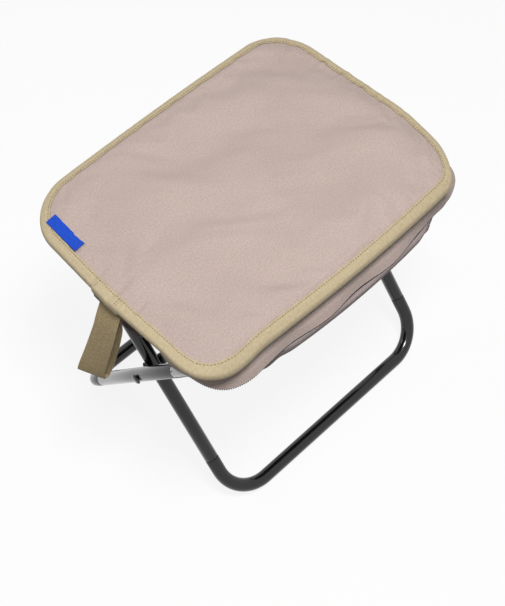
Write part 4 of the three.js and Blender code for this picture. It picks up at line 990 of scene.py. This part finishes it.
# seams down the shell's four corners, a double row each, and a row round its floor
long, short, corner = bagSteps
cornerMiddles = [long // 2 + corner // 2, long // 2 + corner + short + corner // 2]
cornerMiddles += [shellOuter.shape[1] - k for k in cornerMiddles]
for k, column in enumerate(cornerMiddles):
    for j, offset in enumerate((-2, 2)):
        outward = waistNormal[column + offset]
        line = shellOuter[8:, column + offset] + outward * 0.12
        bendsWithBag(stitchRow(f"bag_seam_{k}_{j}", line, outward, greyThread))
floorLine = closed(shellOuter[10] + waistNormal * 0.12)
bendsWithBag(stitchRow("bag_floor_seam", floorLine, closed(waistNormal), greyThread))

# the bag's side of the closure: cloth from the pouch's rim in to the coil, with a black tape along the coil
frontOnly = np.nonzero((skirtNormal[:, 1] < -0.9) & (np.abs(skirtXY[:, 0]) < bag["flapEnd"]))[0]
rimRow = shellOuter[-1]
rimRow = rimRow[rimRow[:, 1] < -110]
rimRow = rimRow[np.argsort(rimRow[:, 0])]
flapHigh = (coilLine - [0, 0, 1.3])[frontOnly]
flapLow = interpRows(flapHigh[:, 0], rimRow[:, 0], rimRow) + [0, 0.5, 0.8]
flapLow[:, 0] = flapHigh[:, 0]


def flapRows(shares):
    # rows from the coil to the pouch's rim
    return mix(flapHigh[:, None], flapLow[:, None], np.asarray(shares)[:, None])


flapShares = np.linspace(0, 1, 12)
flapGrid = flapRows(flapShares) + 1.1 * np.sin(np.pi * flapShares)[:, None] * [0, -0.5, 0.8]
flapUv = mapOf(skirtRun[frontOnly], np.linspace(0, 10, 12))
bendsWithBag(gridPiece("closure_flap", flapGrid, flapGrid - [0, 0, 0.9], shadedBagCloth, "bag_cloth", flapUv))
tapeBand = flapRows(np.linspace(0.0, 0.3, 4)) + [0, -0.2, 0.5]
bandLow = tapeBand - [0, 0, 0.5]
bendsWithBag(gridPiece("closure_tape", tapeBand, bandLow, zipTape, "coil_plastic", flapUv[:, :4]))
print("bag made")

# sleeves and cloth hinge

for tag, node, side in (("b", "front_rail_sleeve", -1), ("a", "back_rail_sleeve", 1)):
    up = -np.array([0, side / slope, riseRatio / slope])
    rail = np.array([0, side * tube["railReach"], railHeight])
    half = tube["halfWidth"][tag]
    straight = np.linspace(-half + tube["bend"], half - tube["bend"], 60)[1:-1]
    stations = bowStations(half, [], np.linspace(math.radians(54), np.pi / 2, 10), straight)
    run = lengthAlong(joined(*stations[:2]))
    outer = bowRings(rail, up, stations, bag["sleeve"] + 0.2 * ripple(run, (27, 39, 17), 0.5))
    inner = bowRings(rail, up, stations, np.full(len(run), tube["radius"] + 0.35))
    uv = mapOf(run, np.linspace(0, 2 * np.pi * bag["sleeve"], tube["sides"] + 1))
    obj = gridPiece("rail_cloth_" + tag, outer, inner, shadedBagCloth, "bag_cloth", uv, wrapColumns=True)
    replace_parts(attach(obj, "frame_" + tag), node)

hinge = {"half": 104.0, "y": tube["railReach"] + bag["sleeve"] * facetShare + bag["gap"], "thick": 1.5}
hingeZ = np.linspace(backRim + bag["gap"], lid["seat"] - 2 * bag["gap"], 14)
gx, gz = gridOf(np.linspace(-hinge["half"], hinge["half"], 90), hingeZ)
bow = 0.5 * ripple(gx, (43, 67, 29), 0.8) * np.sin(np.pi * (gz - hingeZ[0]) / (hingeZ[-1] - hingeZ[0]))
hingeOuter = joined(gx, hinge["y"] + hinge["thick"] + np.maximum(bow, -0.3), gz)
hingeInner = joined(gx, hinge["y"] + np.maximum(bow, 0), gz)
hingePiece = gridPiece("cloth_hinge", hingeOuter, hingeInner, lidCloth, "bag_cloth", joined(gx, gz))
low, high = toFrame([[0, hinge["y"], hingeZ[0]], [0, hinge["y"], hingeZ[-1]]])
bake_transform(hingePiece)
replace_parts(hingePiece, "lid_hinge_strip")
print("sleeves and hinge made")

# label

label = {"x": -177.5, "width": 12.0, "length": 50.0, "y": 89.0, "thick": 0.7, "curl": 1.6}
lu, lv = gridOf(np.linspace(0, 1, 60), np.linspace(0, 1, 18))
labelXY = lidShape(label["x"] + lv * label["width"], label["y"] + (0.5 - lu) * label["length"])
lx, ly = labelXY[..., 0], labelXY[..., 1]
edgeRound = 1 - 0.6 * (np.abs(2 * lv - 1) ** 6 + np.abs(2 * lu - 1) ** 14)
curled = label["curl"] * ease(lu, 0.86, 1) * (0.4 + 0.6 * lv) + 0.25 * np.sin(lu * 9) * np.sin(lv * 3)
labelLow = coverTopHeight(lx, ly, lid["padInset"]) + 0.3 + curled
outer = joined(lx, ly, labelLow + label["thick"] * edgeRound)
inner = joined(lx, ly, labelLow)
labelPiece = gridPiece("woven_label", outer, inner, labelWeave, "label_weave", joined(ly, lx), sharp=70)
bendsWithLid(labelPiece, "side_label")
for k, end in enumerate((3, -5)):
    line = outer[end, 1:-1] + [0, 0, 0.1]
    bendsWithLid(stitchRow(f"label_stitches_{k}", line, [0, 0, 1], labelWeave, 2.4, 1.7, 0.25))
print("label made")

# carry strap

strap = {"width": 30.0, "thick": 1.6, "y": -3.0, "top": 309.8, "drop": 77.0, "start": 197.9, "reach": 32.0,
         "opening": 5.0, "twist": 0.40, "cup": 0.9, "tabTop": 314.2, "tabHeight": 13.0, "tabX": 194.4}
t = np.linspace(0, 1, 70)
share = np.interp(t, [0, 0.06, 0.2, 0.5, 0.82, 0.96, 1], [0, 0.12, 0.7, 1, 1, 0.75, 0.45])
share = np.convolve(np.pad(share, 3, "edge"), np.ones(7) / 7, "valid")
apart = strap["thick"] / 2 + strap["opening"] * share
lineX, lineZ = -(strap["start"] + strap["reach"] * t), strap["top"] - strap["drop"] * t
down, upward = joined(lineX - apart, lineZ), joined(lineX + apart, lineZ)[::-1]
foldTurn = np.linspace(0, np.pi, 12)[1:-1, None]
foldArc = (down[-1] + upward[0]) / 2 - (upward[0] - down[-1]) / 2 * np.cos(foldTurn)
centreLine = np.concatenate([down, foldArc + [0, -1.6] * np.sin(foldTurn), upward])
runShare = np.r_[t, np.ones(len(foldTurn)), t[::-1]][:, None]
tangent = unit(np.gradient(centreLine, axis=0))
normal2 = joined(tangent[:, 1], -tangent[:, 0])[:, None]
w = np.linspace(-0.5, 0.5, 15)
shift = -2.5 * ease(runShare, 0.02, 0.3) + 4.5 * runShare ** 1.5 * ease(runShare, 0.1, 1)
yAt = strap["y"] + shift + w * strap["width"] * (1 - 0.06 * runShare)
cup = strap["cup"] * np.sin(np.pi * runShare) * (w * 2) ** 2
twistX = -strap["twist"] * (yAt - strap["y"]) * runShare ** 2


def strapSurface(offset):
    # the flat loop's line pushed out by half its thickness, cupped across and turned a little
    edgeThin = 1 - 0.35 * (np.abs(w) * 2) ** 8
    line = centreLine[:, None] + offset * edgeThin[:, None] * normal2
    return joined(line[..., 0] + twistX - cup, yAt, line[..., 1])


strapUv = mapOf(lengthAlong(centreLine), w * strap["width"] + 15)
strapFaces = [strapSurface(side * strap["thick"] / 2) for side in (1, -1)]
loop = gridPiece("webbing_loop", *strapFaces, strapWeb, "webbing", strapUv, sharp=60)
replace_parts(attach(loop, "strap"), "carry_loop")

tabY, tabZ = gridOf(np.linspace(-15, 15, 16), strap["tabTop"] - strap["tabHeight"] * np.linspace(0, 1, 8))
tabFaces = [joined(-(strap["tabX"] + x + 0.1 * np.sin(tabY)), strap["y"] + tabY, tabZ)
            for x in (strap["thick"] - 0.1, 0.1)]
tab = gridPiece("webbing_tab", *tabFaces, strapWeb, "webbing", joined(tabZ, tabY), sharp=60)
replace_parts(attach(tab, "strap_anchor"), "strap_tab")
tabLine = joined(-(strap["tabX"] + strap["thick"] + 0.1), strap["y"] + np.linspace(-13, 13, 10),
                 strap["tabTop"] - 10.5)
tabStitch = stitchRow("tab_stitches", tabLine, [-1, 0, 0], khakiThreadAndShade, 2.6, 1.9)
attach(tabStitch, "strap_anchor")
print("strap made")

# closure end tab, slider and pull

endTab = {"x": 182.4, "thick": 1.0, "y": (90.3, 104.3), "z": (288.7, 314.7), "stitchInset": 1.5}
ty, tz = gridOf(np.linspace(*endTab["y"], 12), np.linspace(*endTab["z"], 18))
soft = 0.12 * np.sin(tz * 0.6) * np.cos(ty * 0.5)
tabFaces = [joined(endTab["x"] + x + soft, ty, tz) for x in (endTab["thick"] - 0.1, 0.1)]
endPiece = gridPiece("closure_end_tab", *tabFaces, lidCloth, "lid_cloth", joined(ty, tz), sharp=60)
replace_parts(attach(endPiece, "zip_end"), "zip_end_tab")
inward = [endTab["stitchInset"], -endTab["stitchInset"]]
(nearY, farY), (lowZ, highZ) = (np.add(endTab[k], inward) for k in "yz")
boxLine = joined(endTab["x"] + endTab["thick"] + 0.05, [nearY, farY, farY, nearY, nearY],
                 [lowZ, lowZ, highZ, highZ, lowZ])
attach(stitchRow("end_tab_stitches", boxLine, [1, 0, 0], greyThread, 2.8, 2.0), "zip_end")

for node in ("zip_slider", "zip_pull"):
    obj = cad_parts[node]
    obj.data.materials.clear()
    obj.data.materials.append(zinc)
print("closure made")

# floor, light and camera

light = {"world": 0.28, "floorGlow": 0.87, "target": (0, 0, 0.25),
         # place, size in metres and power in watts
         "lamps": {"key_softbox": ((-0.2, -0.56, 1.95), 0.45, 25.5),
                   "fill_softbox": ((-0.9, 1.5, 1.3), 0.5, 5.0)}}


def seenRays(tree):
    # 1 for rays from the camera, mirrored rays and rays let through, else 0
    rays = addNode(tree, "LightPath").outputs
    either = rays["Is Camera Ray"]
    for other in ("Is Glossy Ray", "Is Transmission Ray"):
        either = addNode(tree, "Math", {"operation": "MAXIMUM"}, {0: either, 1: rays[other]})
    return either


floorMesh = bpy.data.meshes.new("studio_floor")
corners = [(x, y, -0.0005) for x, y in ((-30, -30), (30, -30), (30, 30), (-30, 30))]
floorMesh.from_pydata(corners, [], [(0, 1, 2, 3)])
floor = bpy.data.objects.new("studio_floor", floorMesh)
bpy.context.scene.collection.objects.link(floor)
paper = bpy.data.materials.new("white_paper_sweep")  # matt white paper, as a studio floor
paper.use_nodes = True
tree = paper.node_tree
tree.nodes.clear()
either = seenRays(tree)
tones = {"data_type": "RGBA", 6: linear("#7e7e80"), 7: linear("#fafafa")}
matt = addNode(tree, "BsdfDiffuse", {}, {"Color": addNode(tree, "Mix", tones, {0: either}).outputs[2]})
bright = addNode(tree, "Emission", {"Color": (1, 1, 1, 1), "Strength": 1.0})
seen = addNode(tree, "Math", {"operation": "MULTIPLY", 1: light["floorGlow"]}, {0: either})
addNode(tree, "OutputMaterial", {}, {0: addNode(tree, "MixShader", {}, {0: seen, 1: matt, 2: bright})})
floor.data.materials.append(paper)

world = bpy.data.worlds.new("studio")
bpy.context.scene.world = world
world.use_nodes = True
tree = world.node_tree
tree.nodes.clear()
level = addNode(tree, "MapRange", {"To Min": light["world"], "To Max": 1.0}, {"Value": seenRays(tree)})
sky = addNode(tree, "Background", {"Color": (1, 1, 1, 1)}, {"Strength": level})
addNode(tree, "OutputWorld", {}, {0: sky})


def placed(name, data, right, up, back, place):
    # an object whose axes and place are the columns of its matrix
    obj = bpy.data.objects.new(name, data)
    bpy.context.scene.collection.objects.link(obj)
    obj.matrix_world = Matrix([*np.stack([right, up, back, place], -1).tolist(), [0, 0, 0, 1]])
    return obj


for name, (place, size, power) in light["lamps"].items():
    lamp = bpy.data.lights.new(name, "AREA")
    lamp.size, lamp.energy = size, power
    back = unit(np.subtract(place, light["target"]))
    right = unit(np.cross([0, 0, 1.0], back))
    placed(name, lamp, right, np.cross(back, right), back, place)

# the photograph's camera, solved from the frame's corners: 505 x 606 px, focal length 1190.33 px
view = {"place": (-551.67, -577.43, 1242.0), "azimuth": -43.23, "elevation": 54.57, "roll": -1.63,
        "focal": 1190.33, "width": 505, "sensor": 36.0}
azimuth, elevation, roll = (math.radians(view[k]) for k in ("azimuth", "elevation", "roll"))
level = math.cos(elevation)
back = np.array([math.sin(azimuth) * level, -math.cos(azimuth) * level, math.sin(elevation)])
right = np.array([math.cos(azimuth), math.sin(azimuth), 0])
upright = np.cross(back, right)
turnedRight = right * math.cos(roll) + upright * math.sin(roll)
turnedUp = -right * math.sin(roll) + upright * math.cos(roll)
cameraData = bpy.data.cameras.new("photo_camera")
cameraData.sensor_fit, cameraData.sensor_width = "HORIZONTAL", view["sensor"]
cameraData.lens = view["sensor"] * view["focal"] / view["width"]
camera = placed("photo_camera", cameraData, turnedRight, turnedUp, back, toFrame(view["place"]))
bpy.context.scene.camera = camera
bpy.context.scene.view_settings.view_transform = "Standard"
print("stage made")
